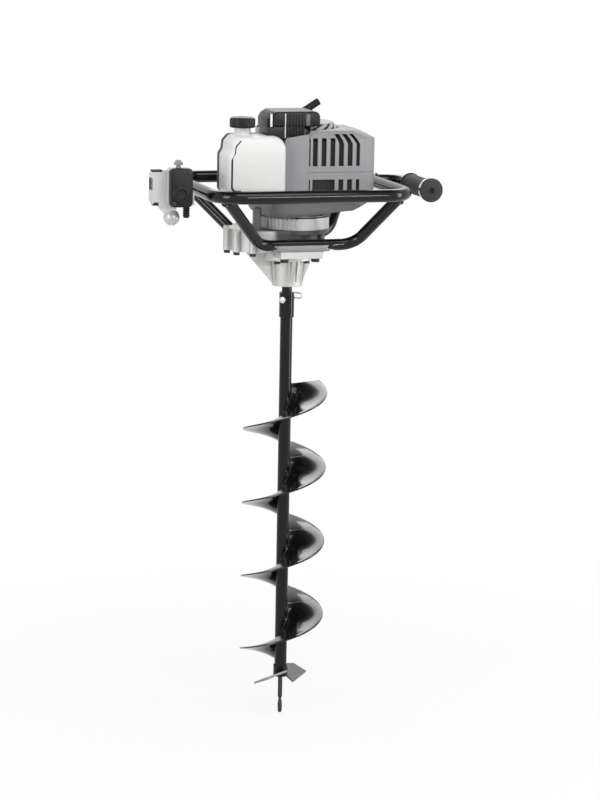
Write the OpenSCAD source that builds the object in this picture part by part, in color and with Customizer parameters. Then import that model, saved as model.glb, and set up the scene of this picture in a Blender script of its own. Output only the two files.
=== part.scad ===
// Petrol auger: engine, reduction gearbox, tube carrying frame and a pinned screw bit.
// The origin is the point of the bit on the drive axis, Z is up and the front faces -Y. Sizes in mm.

/* [Bit] */
// Height of the coupling sleeve's top above the point
bit_length = 772; // [680:1:940]
// Diameter of the flight
flight_d = 150; // [110:1:190]
// Rise of the flight in one turn
flight_pitch = 135; // [110:1:165]
// Turns of flight
flight_turns = 3.77; // [3.1:0.01:4]
// Thickness of the flight plate
flight_t = 3; // [2:0.5:5]
// Height of the flight's top edge below the top of the coupling sleeve
flight_drop = 165; // [120:1:260]
// Outer diameter of the auger tube
tube_d = 22; // [20:1:26]
// Height of the tube's lower end above the point
pilot_len = 70; // [55:1:90]
// Diameter of the pilot rod
pilot_d = 8; // [6:0.5:12]
// Chord of each cutter blade
blade_chord = 52; // [36:1:58]
// Pitch of each cutter blade, degrees
blade_pitch = 28; // [15:1:40]

/* [Coupling] */
// Outer diameter of the coupling sleeve
sleeve_d = 26.5; // [26:0.5:36]
// Length of the coupling sleeve
sleeve_len = 44; // [38:1:60]
// Diameter of the output shaft
shaft_d = 18; // [14:0.5:19]
// Diameter of the drive pin
pin_d = 8; // [6:0.5:9]

/* [Gears] */
// Gear module
gear_module = 1.25; // [1.25:0.05:1.5]
// Teeth on the output gear
output_teeth = 62; // [56:1:72]
// Teeth on the layshaft pinion
lay_pinion_teeth = 14; // [14:1:18]
// Teeth on the lay gear
lay_teeth = 84; // [78:1:92]
// Teeth on the clutch drum's pinion
input_teeth = 12; // [12:1:15]

/* [Gearbox] */
// Bare shaft between the sleeve and the nose
neck_gap = 13; // [6:1:25]
// Height of the nose below its flange
nose_h = 47; // [40:1:70]
// Radius at the foot of the nose
nose_r = 27; // [25:0.5:32]
// Thickness of the nose flange
flange_h = 18; // [16:1:24]
// Inside height of the gear case above its floor
gear_room_h = 24; // [24:1:34]
// Thickness of the castings' walls
cast_wall = 4; // [3:0.5:6]

/* [Engine] */
// Radius of the clutch housing
clutch_r = 60; // [56:1:70]
// Height of the clutch housing
clutch_h = 24; // [24:1:34]
// Width of the fan housing
fan_w = 202; // [186:1:240]
// Depth of the fan housing
fan_d = 184; // [176:1:220]
// Height of the fan housing
fan_h = 38; // [38:1:50]
// Height of the crankcase above the fan housing
case_h = 98; // [96:1:125]
// Radius of the crankcase
case_r = 40; // [38:1:42]
// Bore of the cylinder
bore_d = 44; // [40:1:46]
// Stroke of the piston
stroke = 34; // [28:1:36]
// Radius of the cylinder's fins
fin_r = 36; // [32:1:38]
// Radius of the recoil cover
recoil_r = 72; // [70:1:76]
// Height of the recoil cover
recoil_h = 22; // [18:1:30]
// Front of the slotted engine cover, from the drive axis
cover_front = 98; // [96:1:112]
// Height of the slotted engine cover
cover_h = 109; // [106:1:125]
// Top of the recoil handle above the recoil cover's foot
handle_rise = 62; // [58:1:80]

/* [Tank] */
// Width of the fuel tank
tank_w = 100; // [80:1:112]
// Depth of the fuel tank
tank_dp = 85; // [60:1:95]
// Height of the fuel tank
tank_h = 88; // [70:1:89]
// Wall of the fuel tank
tank_wall = 2.5; // [1.5:0.5:4]
// Diameter of the fuel cap
cap_d = 44; // [36:1:46]

/* [Frame] */
// Width of the tube loop, outside
loop_w = 366; // [340:1:440]
// Depth of the tube loop, outside
loop_d = 360; // [320:1:430]
// Diameter of the loop's tube
frame_d = 22; // [19:0.5:26]
// Bend radius of the loop's corners, on the tube's centre line
loop_bend = 50; // [35:1:70]
// Diameter of the stays' tube
stay_d = 20; // [16:0.5:22]
// Gap between each stay's foot and the side of the gearbox
stay_gap = 3.75; // [3.5:0.25:16]
// Distance of the handle tubes from the outside of the loop
handle_out = 46; // [41:1:77]
// Length of the rubber grip
grip_len = 116; // [100:1:145]
// Diameter of the rubber grip
grip_d = 34; // [30:1:38]

/* [Throttle unit] */
// Width of the throttle housing
throttle_w = 39; // [36:1:48]
// Height of the throttle housing
throttle_h = 66; // [62:1:80]
// Depth of the throttle housing
throttle_dp = 31; // [28:1:40]

/* [Fits] */
// Radial clearance of a turning or sliding fit
run_fit = 0.05; // [0.02:0.01:0.08]
// Air between pieces that pass each other
air_gap = 1.5; // [0.8:0.1:2.5]

/* [Hidden] */
$fn = 64;

black = "#1c1d1f";
alloy = "#b7babd";
steel = "#9a9da0";
grey = "#77797b";
over = 1;

// Heights of the joints between the castings, from the point upwards
nose_z = bit_length + neck_gap;
flange_z = nose_z + nose_h;
body_z = flange_z + flange_h;
floor_t = 6;
gear_z = body_z + floor_t;
cover_z = gear_z + gear_room_h;
cover_t = 8;
clutch_z = cover_z + cover_t;
fan_z = clutch_z + clutch_h;
fan_floor = 12;
case_z = fan_z + fan_h;
deck_t = 5;
deck_z = case_z + deck_t;
recoil_z = case_z + case_h;
loop_z = case_z + 10;
foot_t = 12;
pad_t = 12;
foot_top = body_z + 5;

// Gear train: output gear on the drive axis, layshaft to the left, clutch drum coaxial with the crank
pressure_angle = 25;
addendum = 0.8;
dedendum = 1;
backlash = 0.2;
function pitch_r(n) = n * gear_module / 2;
function tip_r(n) = pitch_r(n) + addendum * gear_module;
function root_r(n) = pitch_r(n) - dedendum * gear_module;
lay_x = -pitch_r(lay_pinion_teeth) - pitch_r(output_teeth);
crank_x = lay_x + pitch_r(input_teeth) + pitch_r(lay_teeth);
output_gear_h = 9;
output_gear_z = gear_z + 4;
lay_gear_h = 6;
lay_gear_z = cover_z - 2 - lay_gear_h;
lay_shaft_r = 5;
bearing_r = 13;
bearing_w = 8;
output_bearing_r = 20;
output_bearing_w = 12;
lay_case_r = tip_r(lay_teeth) + air_gap + cast_wall;
drive_case_r = max(tip_r(output_teeth) + air_gap + cast_wall, 54);
bolt_r = 3;
ear_r = 7;
lay_ear_angles = [120, 150, 180, 210, 240];
drive_ear_angles = [-22, 22];
flange_r = nose_r + 19;
nose_bolt_r = nose_r + 11;

// Crank train and the cylinder, which lies along +X
crank_r = 8;
web_r = stroke / 2 + 7;
web_t = 9;
cyl_z = case_z + 45;
bore_r = bore_d / 2;
spigot_r = bore_r + 2;
cyl_x = crank_x + case_r;
spigot_x = crank_x + web_r + air_gap;
head_x = spigot_x + 24 + stroke + 6;
head_t = 6;
piston_len = 24;
drum_r = 40;
drum_wall = 4;
drum_floor = 3;
drum_z = clutch_z + 2;
drum_h = clutch_h - 6;
fly_r = 60;
fly_z = fan_z + fan_floor + 5;
fan_x = crank_x + 21;

// Fuel tank, left of the crankcase
tank_right = crank_x - case_r - 12;
tank_left = tank_right - tank_w;
tank_back = -25;
tank_front = tank_back - tank_dp;
bracket_t = 3;
tank_z = deck_z + bracket_t;
tank_top = tank_z + tank_h;
cap_x = tank_left + 35;
cap_y = (tank_front + tank_back) / 2;
neck_r = 14;
neck_h = 30;
cap_z = tank_top + 21;
cap_h = 20;

// Slotted engine cover, right of the crankcase
cover_left = 4;
cover_right = fan_x + fan_w / 2 - 2;
cover_back = 24;
cover_wall = 2.5;
cover_top = deck_z + cover_h;
corner_r = 30;
slot_w = 9;
slot_step = 15.7;
muffler_x = cyl_x + 6;
port_x = cyl_x + 26;
muffler_back = -fin_r - 6;

// Air filter above the tank and the engine cover
filter_left = -77;
filter_right = 29;
filter_front = -88;
filter_back = -12;
filter_split = recoil_z + recoil_h + air_gap;
filter_top = filter_split + 26;
filter_base_z = max(tank_top, recoil_z) + 2;
carb_x = (tank_right + cover_left) / 2;
carb_z = deck_z + 30;
carb_front = -84;
carb_back = -44;
cheek_left = tank_right + 5;
cheek_h = filter_base_z - deck_z - 4;
choke_z = carb_z + 40;

// Recoil handle on the recoil cover's rope guide
handle_px = crank_x + 36;
handle_py = 40;
handle_top = recoil_z + handle_rise;
handle_tilt = 32;
handle_bar = 38;
handle_bar_d = 12;
handle_bar_z = handle_top - handle_bar / 2 * sin(handle_tilt) - handle_bar_d / 2 * cos(handle_tilt);
recoil_screw_r = recoil_r - 5;

// Frame centre lines
frame_r = frame_d / 2;
loop_hx = loop_w / 2 - frame_r;
loop_hy = loop_d / 2 - frame_r;
corner_x = loop_hx - loop_bend + loop_bend * cos(45);
corner_y = loop_hy - loop_bend + loop_bend * sin(45);
stay_r = stay_d / 2;
stay_z = foot_top + pad_t / 2;
stay_left_x = 72;
stay_right_x = 97;
stay_bend = 40;
pad_hx = 48;
pad_w = 26;
stay_y = lay_case_r + stay_gap + pad_w / 2;
stay_bolt_x = 28;
stay_bolt_r = 4;
grip_front = -104;
grip_back = grip_front + grip_len;
handle_x = loop_w / 2 + handle_out;
handle_bend = 40;
handle_turn_y = grip_back + 55;
handle_front = grip_front + 6;
flange_grip_r = grip_d / 2 + 4;

// Throttle unit on the front end of the left handle tube, its lever turning on the tube behind it
throttle_x = -handle_x;
throttle_front = -122;
throttle_split = throttle_front + 14;
throttle_back = throttle_front + throttle_dp;
throttle_x0 = throttle_x - throttle_w / 2 + 5;
throttle_x1 = throttle_x0 + throttle_w;
throttle_z0 = loop_z - 20;
throttle_z1 = throttle_z0 + throttle_h;
shell_round = 8;
lever_t = 14;
lever_front = throttle_back + 0.8;
lever_back = lever_front + lever_t;
lever_hub_r = frame_r + 7;
lever_left = throttle_x - 41;
ball_r = 14;
ball_x = throttle_x - 3;
ball_z = throttle_z0 - ball_r - 7;
button_r = 4;
button_x = throttle_x + 4;
button_cap_r = 8;
button_travel = 4;
ferrule_x = throttle_x1 - 6;
ferrule_y = throttle_split + 8;
ferrule_r = 6;
ferrule_h = 20;
left_grip_front = lever_back + 0.8;

// Flight angles, measured from +X, and its height at each angle
flight_top_a = 19;
flight_r = flight_d / 2;
tube_r = tube_d / 2;
flight_top_z = bit_length - flight_drop;
flight_step = 7.5;
function flight_z(a) = flight_top_z + (a - flight_top_a) * flight_pitch / 360;

function unit(v) = v / norm(v);

// Puts its children in a frame with the given origin and axes
module placed(o, ex, ey, ez) {
    multmatrix([[ex.x, ey.x, ez.x, o.x], [ex.y, ey.y, ez.y, o.y], [ex.z, ey.z, ez.z, o.z],
        [0, 0, 0, 1]]) children();
}

// Round bar from a to b
module rod(a, b, r, up = [0, 0, 1]) {
    ez = unit(b - a);
    ref = abs(ez * up) < 0.9 ? up : [1, 0, 0];
    ex = unit(cross(ref, ez));
    placed(a, ex, cross(ez, ex), ez) cylinder(h = norm(b - a), r = r);
}

// Angle that a path turns through at its middle point
function turn(a, b, c) = acos(unit(b - a) * unit(c - b));

// Round bar along the points p, which lie in one plane, with its corners bent to bend_r
module bent_rod(p, bend_r, r) {
    last = len(p) - 1;
    up = unit(cross(p[1] - p[0], p[2] - p[1]));
    cut = [for (i = [0:last]) i == 0 || i == last ? 0 : bend_r * tan(turn(p[i - 1], p[i], p[i + 1]) / 2)];
    for (i = [0:last - 1]) {
        d = unit(p[i + 1] - p[i]);
        rod(p[i] + d * cut[i], p[i + 1] - d * cut[i + 1], r, up);
    }
    for (i = [1:last - 1]) {
        d0 = unit(p[i] - p[i - 1]);
        d1 = unit(p[i + 1] - p[i]);
        a = turn(p[i - 1], p[i], p[i + 1]);
        start = p[i] - d0 * cut[i];
        c = p[i] + unit(d1 - d0) * bend_r / cos(a / 2);
        out = unit(start - c);
        placed(c, out, d0, cross(out, d0))
            rotate_extrude(angle = a) translate([bend_r, 0]) circle(r);
    }
}

// Rectangle from one corner to the other with round corners
module round_rect(x0, y0, x1, y1, r) {
    translate([x0 + r, y0]) square([x1 - x0 - 2 * r, y1 - y0]);
    translate([x0, y0 + r]) square([x1 - x0, y1 - y0 - 2 * r]);
    for (x = [x0 + r, x1 - r], y = [y0 + r, y1 - r]) translate([x, y]) circle(r);
}

// Lays a drawing in XZ and pulls it from y0 to y1
module pull_y(y0, y1) {
    translate([0, y1, 0]) rotate([90, 0, 0]) linear_extrude(y1 - y0) children();
}

// Hexagon-headed bolt, its head's face at z = 0 and its shank along +Z
module hex_bolt(r, shank) {
    translate([0, 0, -r * 1.8]) cylinder(h = r * 1.8, r = r * 1.9, $fn = 6);
    cylinder(h = shank, r = r);
}

// Involute tooth outline
function involute(a) = tan(a) * 180 / PI - a;
function half_tooth(n, r) = 90 / n - backlash * 90 / (PI * pitch_r(n)) + involute(pressure_angle)
    - involute(acos(pitch_r(n) * cos(pressure_angle) / r));
function tooth_radii(n) = let (base = pitch_r(n) * cos(pressure_angle), low = max(root_r(n), base + 0.01))
    [low, (low + pitch_r(n)) / 2, pitch_r(n), (pitch_r(n) + tip_r(n)) / 2, tip_r(n)];
function at_angle(r, a) = [r * cos(a), r * sin(a)];
function tooth(n, a) = let (rr = tooth_radii(n), under = root_r(n) < rr[0] - 0.02)
    concat(under ? [at_angle(root_r(n), a - half_tooth(n, rr[0]))] : [],
        [for (r = rr) at_angle(r, a - half_tooth(n, r))],
        [for (i = [len(rr) - 1:-1:0]) at_angle(rr[i], a + half_tooth(n, rr[i]))],
        under ? [at_angle(root_r(n), a + half_tooth(n, rr[0]))] : []);
module gear_outline(n) {
    polygon([for (k = [0:n - 1]) each tooth(n, k * 360 / n)]);
}

// Ball bearing as one ring with sunk faces
module bearing(r_in, r_out, w) {
    sunk = 0.8;
    mid = (r_in + r_out) / 2;
    race = (r_out - r_in) / 5;
    rotate_extrude() difference() {
        translate([r_in, 0]) square([r_out - r_in, w]);
        translate([mid - race, -over]) square([2 * race, over + sunk]);
        translate([mid - race, w - sunk]) square([2 * race, over + sunk]);
    }
}

// Pressed flight plate between two angles, on the helix
module flight(a0, a1) {
    steps = ceil((a1 - a0) / flight_step);
    da = (a1 - a0) / steps;
    r_in = tube_r / cos(da / 2);
    ring = [for (i = [0:steps]) let (a = a0 + i * da, z = flight_z(a)) each [
        [r_in * cos(a), r_in * sin(a), z], [flight_r * cos(a), flight_r * sin(a), z],
        [flight_r * cos(a), flight_r * sin(a), z - flight_t], [r_in * cos(a), r_in * sin(a), z - flight_t]]];
    sides = [for (i = [0:steps - 1], k = [0:3]) let (p = 4 * i + k, q = 4 * i + (k + 1) % 4) each [
        [p, q, q + 4], [p, q + 4, p + 4]]];
    end = 4 * steps;
    polyhedron(ring, concat(sides, [[0, 2, 1], [0, 3, 2], [end, end + 1, end + 2], [end, end + 2, end + 3]]));
}
flight_bottom_a = flight_top_a - 360 * flight_turns;
module flight_turn(k) {
    color(black) flight(max(flight_bottom_a, flight_top_a - 360 * k), flight_top_a - 360 * (k - 1));
}
module flight_turn_1() flight_turn(1);
module flight_turn_2() flight_turn(2);
module flight_turn_3() flight_turn(3);
module flight_turn_4() flight_turn(4);

// Bit
tube_bore_r = tube_r - 3;
tube_top = bit_length - sleeve_len / 2 - 6;
module auger_tube() {
    color(black) translate([0, 0, pilot_len]) difference() {
        cylinder(h = tube_top - pilot_len, r = tube_r);
        translate([0, 0, -over]) cylinder(h = tube_top - pilot_len + 2 * over, r = tube_bore_r);
    }
}

plug_len = 25;
spear_len = 24;
spear_r = 5;
module pilot_point() {
    color(steel) rotate_extrude() polygon([[0, 0], [1.6, 0.6], [spear_r, spear_len * 0.62],
        [pilot_d * 0.32, spear_len], [pilot_d * 0.32, spear_len + 2], [pilot_d / 2, spear_len + 4],
        [pilot_d / 2, pilot_len], [tube_bore_r, pilot_len], [tube_bore_r, pilot_len + plug_len],
        [0, pilot_len + plug_len]]);
}

blade_t = 3.5;
blade_hub_r = tube_r + 2;
blade_hub_h = 20;
blade_tip_r = flight_r * 0.8;
blade_root = tube_r - 2;
blade_a = 34;
blade_z = pilot_len - 2;
blade_tip_chord = blade_chord * 0.5;
module cutter_blade() {
    translate([0, 0, blade_z + blade_hub_h / 2 - 6]) rotate([blade_pitch, 0, 0])
        translate([0, 0, -blade_t / 2]) linear_extrude(blade_t) polygon([[blade_root, -blade_chord / 2],
            [blade_tip_r, -blade_tip_chord / 2], [blade_tip_r - 9, blade_tip_chord / 2],
            [blade_root, blade_chord / 2]]);
}
module cutter_blades() {
    color(steel) difference() {
        union() {
            translate([0, 0, blade_z + 2]) cylinder(h = blade_hub_h, r = blade_hub_r);
            for (a = [blade_a, blade_a + 180]) rotate([0, 0, a]) cutter_blade();
        }
        translate([0, 0, -over]) cylinder(h = bit_length, r = tube_r);
    }
}

pin_z = bit_length - 12;
pin_a = 227;
module coupling_sleeve() {
    color(black) difference() {
        translate([0, 0, bit_length - sleeve_len]) cylinder(h = sleeve_len, r = sleeve_d / 2);
        translate([0, 0, bit_length - sleeve_len - over]) cylinder(h = tube_top - bit_length + sleeve_len + over,
            r = tube_r);
        translate([0, 0, tube_top - over]) cylinder(h = bit_length - tube_top + 2 * over, r = shaft_d / 2);
        translate([0, 0, pin_z]) rotate([0, 90, pin_a]) cylinder(h = 2 * sleeve_d, r = pin_d / 2, center = true);
    }
}

pin_end = sleeve_d / 2 + 12;
pin_head_r = 5.5;
clip_at = -sleeve_d / 2 - 6;
clip_r = 1.2;
module drive_pin() {
    color(steel) translate([0, 0, pin_z]) rotate([0, 90, pin_a]) difference() {
        union() {
            translate([0, 0, -pin_end]) cylinder(h = pin_end + sleeve_d / 2 + over, r = pin_d / 2);
            translate([0, 0, sleeve_d / 2 + 0.5]) cylinder(h = 4, r = pin_head_r);
        }
        translate([0, 0, clip_at]) rotate([90, 0, 0]) cylinder(h = 4 * pin_d, r = clip_r, center = true);
    }
}
clip_leg = 20;
clip_w = 9;
module pin_clip() {
    color(steel) translate([0, 0, pin_z]) rotate([0, 90, pin_a]) translate([0, 0, clip_at])
        bent_rod([[0, -pin_d, 0], [0, clip_leg, 0], [-clip_w, clip_leg, 0], [-clip_w, -pin_d / 2, 0]],
            4, clip_r);
}

// Output shaft and gears
shaft_bottom = tube_top + 2;
shaft_top = output_gear_z + output_gear_h + 1;
module output_shaft() {
    color(steel) difference() {
        translate([0, 0, shaft_bottom]) cylinder(h = shaft_top - shaft_bottom, r = shaft_d / 2);
        translate([0, 0, pin_z]) rotate([0, 90, pin_a]) cylinder(h = 2 * sleeve_d, r = pin_d / 2, center = true);
    }
}
module output_gear() {
    color(steel) translate([0, 0, output_gear_z]) rotate([0, 0, 180]) linear_extrude(output_gear_h)
        difference() {
            gear_outline(output_teeth);
            circle(shaft_d / 2);
        }
}
lay_bearing_z = gear_z - bearing_w;
module layshaft() {
    color(steel) translate([lay_x, 0, 0]) {
        translate([0, 0, lay_bearing_z + 1]) cylinder(h = clutch_z - 2 - lay_bearing_z, r = lay_shaft_r);
        translate([0, 0, output_gear_z - 1]) rotate([0, 0, 180 / lay_pinion_teeth])
            linear_extrude(output_gear_h + 2) gear_outline(lay_pinion_teeth);
    }
}
module lay_gear() {
    color(steel) translate([lay_x, 0, lay_gear_z]) linear_extrude(lay_gear_h) difference() {
        gear_outline(lay_teeth);
        circle(lay_shaft_r);
    }
}
module clutch_drum() {
    color(steel) translate([crank_x, 0, 0]) {
        translate([0, 0, lay_gear_z - 1]) rotate([0, 0, 180 + 180 / input_teeth])
            linear_extrude(lay_gear_h + 2) gear_outline(input_teeth);
        translate([0, 0, lay_gear_z]) cylinder(h = drum_z + drum_floor - lay_gear_z, r = lay_shaft_r);
        translate([0, 0, drum_z]) difference() {
            cylinder(h = drum_h, r = drum_r);
            translate([0, 0, drum_floor]) cylinder(h = drum_h, r = drum_r - drum_wall);
        }
    }
}
module shaft_bearings() {
    color(steel) {
        for (z = [lay_bearing_z, cover_z]) translate([lay_x, 0, z])
            bearing(lay_shaft_r + run_fit, bearing_r, bearing_w);
        translate([crank_x, 0, cover_z]) bearing(lay_shaft_r + run_fit, bearing_r, bearing_w);
    }
}
lip_h = 4;
output_bearing_zs = [nose_z + lip_h, body_z - output_bearing_w];
module output_bearings() {
    color(steel) for (z = output_bearing_zs) translate([0, 0, z])
        bearing(shaft_d / 2 + run_fit, output_bearing_r, output_bearing_w);
}

// Gearbox castings
module case_outline(grow) {
    translate([lay_x, 0]) circle(lay_case_r + grow);
    circle(drive_case_r + grow);
    polygon([[lay_x, lay_case_r + grow], [lay_x, -lay_case_r - grow], [0, -drive_case_r - grow],
        [0, drive_case_r + grow]]);
}
function ear_points() = concat([for (a = lay_ear_angles) [lay_x, 0] + at_angle(lay_case_r + 4, a)],
    [for (a = drive_ear_angles) at_angle(drive_case_r + 4, a)]);
module ear_outline() {
    difference() {
        union() {
            case_outline(0);
            for (p = ear_points()) translate(p) circle(ear_r);
        }
        for (p = ear_points()) translate(p) circle(bolt_r);
    }
}
rib_t = 7;
rib_angles = [0, 90, 270];
module gearbox_nose() {
    color(alloy) difference() {
        union() {
            translate([0, 0, nose_z]) cylinder(h = nose_h + over, r1 = nose_r, r2 = nose_r + 2);
            translate([0, 0, flange_z]) cylinder(h = flange_h, r = flange_r);
            for (a = rib_angles) rotate([0, 0, a]) pull_y(-rib_t / 2, rib_t / 2) polygon([
                [nose_r - 4, nose_z + 6], [nose_r, nose_z + 6], [flange_r - 2, flange_z + over],
                [nose_r - 4, flange_z + over]]);
            pull_y(-rib_t / 2, rib_t / 2) polygon([[-nose_r + 4, nose_z + 4], [-nose_r, nose_z + 4],
                [lay_x - 30, body_z - 4], [lay_x - 30, body_z], [-nose_r + 4, body_z]]);
        }
        translate([0, 0, nose_z - over]) cylinder(h = 2 * over + lip_h, r = shaft_d / 2 + 1);
        translate([0, 0, nose_z + lip_h]) cylinder(h = body_z, r = output_bearing_r);
        for (a = [45:90:315]) rotate([0, 0, a]) translate([nose_bolt_r, 0, flange_z - over])
            cylinder(h = flange_h + 2 * over, r = bolt_r);
        lay_boss(0.5);
    }
}
boss_drop = 4;
module lay_boss(grow) {
    translate([lay_x, 0, lay_bearing_z - boss_drop - grow])
        cylinder(h = gear_z - lay_bearing_z + boss_drop, r = bearing_r + cast_wall + grow);
}
foot_hx = 38;
module gearbox_body() {
    color(alloy) difference() {
        union() {
            translate([0, 0, body_z]) linear_extrude(cover_z - body_z) ear_outline();
            difference() {
                lay_boss(0);
                translate([0, 0, flange_z - over]) cylinder(h = flange_h + over, r = flange_r + 0.5);
            }
            for (s = [-1, 1]) scale([1, s, 1]) translate([-foot_hx, drive_case_r - 12, foot_top - foot_t])
                cube([2 * foot_hx, stay_y + pad_w / 2 - drive_case_r + 12, foot_t]);
        }
        translate([0, 0, gear_z]) linear_extrude(gear_room_h + over) case_outline(-cast_wall);
        translate([0, 0, body_z - over]) cylinder(h = floor_t + 2 * over, r = output_bearing_r - 2);
        translate([lay_x, 0, lay_bearing_z]) cylinder(h = bearing_w + over, r = bearing_r);
        for (a = [45:90:315]) rotate([0, 0, a]) translate([nose_bolt_r, 0, body_z - foot_t])
            cylinder(h = foot_t + floor_t + over, r = bolt_r);
        translate([0, 0, flange_z - over]) cylinder(h = flange_h + over, r = flange_r + 0.5);
        for (x = [-stay_bolt_x, stay_bolt_x], y = [-stay_y, stay_y]) translate([x, y, foot_top - foot_t - over])
            cylinder(h = foot_t + 2 * over, r = stay_bolt_r);
        translate([drive_case_r - cast_wall - over, 0, plug_z]) rotate([0, 90, 0])
            cylinder(h = 3 * cast_wall, r = oil_plug_r);
    }
}
plug_z = gear_z + gear_room_h / 2;
oil_plug_r = 5;
module oil_plug() {
    color(steel) translate([drive_case_r + 4, 0, plug_z]) rotate([0, 90, 0]) {
        cylinder(h = 5, r = 8, $fn = 6);
        translate([0, 0, -cast_wall - 4]) cylinder(h = cast_wall + 4, r = oil_plug_r);
    }
}
clutch_screw_r = 2.5;
clutch_screw_at = 51;
function clutch_screw_points() = [for (a = [45:90:315]) [crank_x, 0] + at_angle(clutch_screw_at, a)];
module gearbox_cover() {
    color(alloy) translate([0, 0, cover_z]) linear_extrude(cover_t) difference() {
        union() {
            ear_outline();
            translate([crank_x, 0]) circle(clutch_r);
        }
        translate([lay_x, 0]) circle(bearing_r);
        translate([crank_x, 0]) circle(bearing_r);
        for (p = ear_points()) translate(p) circle(bolt_r);
        for (p = clutch_screw_points()) translate(p) circle(clutch_screw_r);
    }
}
module housing_bolts() {
    color(black) {
        for (p = ear_points()) translate([p.x, p.y, body_z]) hex_bolt(bolt_r, clutch_z - body_z);
        for (a = [45:90:315]) rotate([0, 0, a]) translate([nose_bolt_r, 0, flange_z])
            hex_bolt(bolt_r, body_z + floor_t - flange_z);
    }
}

// Clutch, fan and crank
module clutch_housing() {
    color(alloy) translate([crank_x, 0, clutch_z]) difference() {
        cylinder(h = clutch_h, r = clutch_r);
        translate([0, 0, -over]) cylinder(h = clutch_h + 2 * over, r = drum_r + 4);
        for (a = [45:90:315]) rotate([0, 0, a]) translate([clutch_screw_at, 0, -over])
            cylinder(h = clutch_h + 2 * over, r = clutch_screw_r);
    }
}
module clutch_screws() {
    color(black) for (p = clutch_screw_points()) translate([p.x, p.y, fan_z + fan_floor]) rotate([180, 0, 0]) {
        cylinder(h = fan_floor + clutch_h + cover_t, r = clutch_screw_r);
        translate([0, 0, -4]) cylinder(h = 4, r = 4.5);
    }
}
shoe_r = drum_r - drum_wall - 1;
shoe_z = drum_z + drum_floor + 2;
shoe_h = drum_h - drum_floor - 3;
module clutch_shoes() {
    color(steel) translate([crank_x, 0, shoe_z]) linear_extrude(shoe_h) difference() {
        circle(shoe_r);
        circle(crank_r);
        for (s = [-1, 1]) translate([s * (shoe_r - 12) - 15, s * 8 - 1]) square([30, 2]);
    }
}
module fan_outline(shrink) {
    round_rect(fan_x - fan_w / 2 + shrink, -fan_d / 2 + shrink, fan_x + fan_w / 2 - shrink,
        fan_d / 2 - shrink, 52 - shrink);
}
fan_wall = 4;
bowl_in = 24;
bowl_h = 16;
module bowl_profile(half) {
    polygon([[-half + bowl_in, fan_z], [half - bowl_in, fan_z], [half, fan_z + bowl_h], [half, case_z],
        [-half, case_z], [-half, fan_z + bowl_h]]);
}
module fan_housing() {
    color(grey) difference() {
        intersection() {
            translate([0, 0, fan_z]) linear_extrude(fan_h) fan_outline(0);
            translate([fan_x, 0, 0]) pull_y(-fan_d, fan_d) bowl_profile(fan_w / 2);
            translate([fan_x, 0, 0]) rotate([0, 0, 90]) pull_y(-fan_w, fan_w) bowl_profile(fan_d / 2);
        }
        translate([0, 0, fan_z + bowl_h]) linear_extrude(fan_h) fan_outline(fan_wall);
        translate([crank_x, 0, fan_z + fan_floor]) cylinder(h = fan_h, r = fly_r + 4);
        translate([crank_x, 0, fan_z - over]) cylinder(h = fan_floor + 2 * over, r = drum_r);
        for (p = clutch_screw_points()) translate([p.x, p.y, fan_z - over])
            cylinder(h = fan_floor + 2 * over, r = clutch_screw_r);
    }
}
vane_count = 16;
module flywheel() {
    color(alloy) translate([crank_x, 0, fly_z]) difference() {
        union() {
            cylinder(h = 8, r = fly_r);
            cylinder(h = 18, r = 20);
            for (k = [0:vane_count - 1]) rotate([0, 0, k * 360 / vane_count])
                translate([30, -1.25, 7]) cube([fly_r - 32, 2.5, 11]);
        }
        translate([0, 0, -over]) cylinder(h = 30, r = crank_r);
    }
}
crank_bottom = shoe_z;
crank_top = recoil_z - 2;
lower_web_z = cyl_z - web_t - 9;
upper_web_z = cyl_z + 9;
crank_pin_r = 6;
module crankshaft() {
    color(steel) translate([crank_x, 0, 0]) {
        translate([0, 0, crank_bottom]) cylinder(h = lower_web_z - crank_bottom + over, r = crank_r);
        translate([0, 0, upper_web_z]) cylinder(h = crank_top - upper_web_z, r = crank_r);
        for (z = [lower_web_z, upper_web_z]) translate([0, 0, z]) cylinder(h = web_t, r = web_r);
        translate([-stroke / 2, 0, lower_web_z]) cylinder(h = upper_web_z - lower_web_z + over, r = crank_pin_r);
    }
}
arm_w = 16;
case_wall = 6;
module crankcase() {
    color(alloy) difference() {
        union() {
            translate([0, 0, case_z]) linear_extrude(deck_t) fan_outline(0);
            translate([crank_x, 0, case_z]) cylinder(h = case_h, r = case_r);
            translate([crank_x, 0, cyl_z]) rotate([0, 90, 0]) cylinder(h = cyl_x - crank_x, r = spigot_r + 6);
            translate([crank_x, 0, recoil_z - case_wall]) for (a = [0:90:270]) rotate([0, 0, a])
                translate([0, -arm_w / 2, 0]) cube([recoil_r, arm_w, case_wall]);
        }
        translate([crank_x, 0, deck_z + 8]) cylinder(h = recoil_z - 8 - deck_z - 8, r = case_r - case_wall);
        translate([crank_x, 0, case_z - over]) cylinder(h = case_h + 2 * over, r = crank_r + run_fit);
        translate([crank_x, 0, cyl_z]) rotate([0, 90, 0]) cylinder(h = cyl_x, r = spigot_r);
        for (a = [0:90:270]) translate([crank_x, 0, recoil_z - case_wall - over]) rotate([0, 0, a])
            translate([recoil_screw_r, 0, 0]) cylinder(h = case_wall + 2 * over, r = 2);
    }
}

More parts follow.
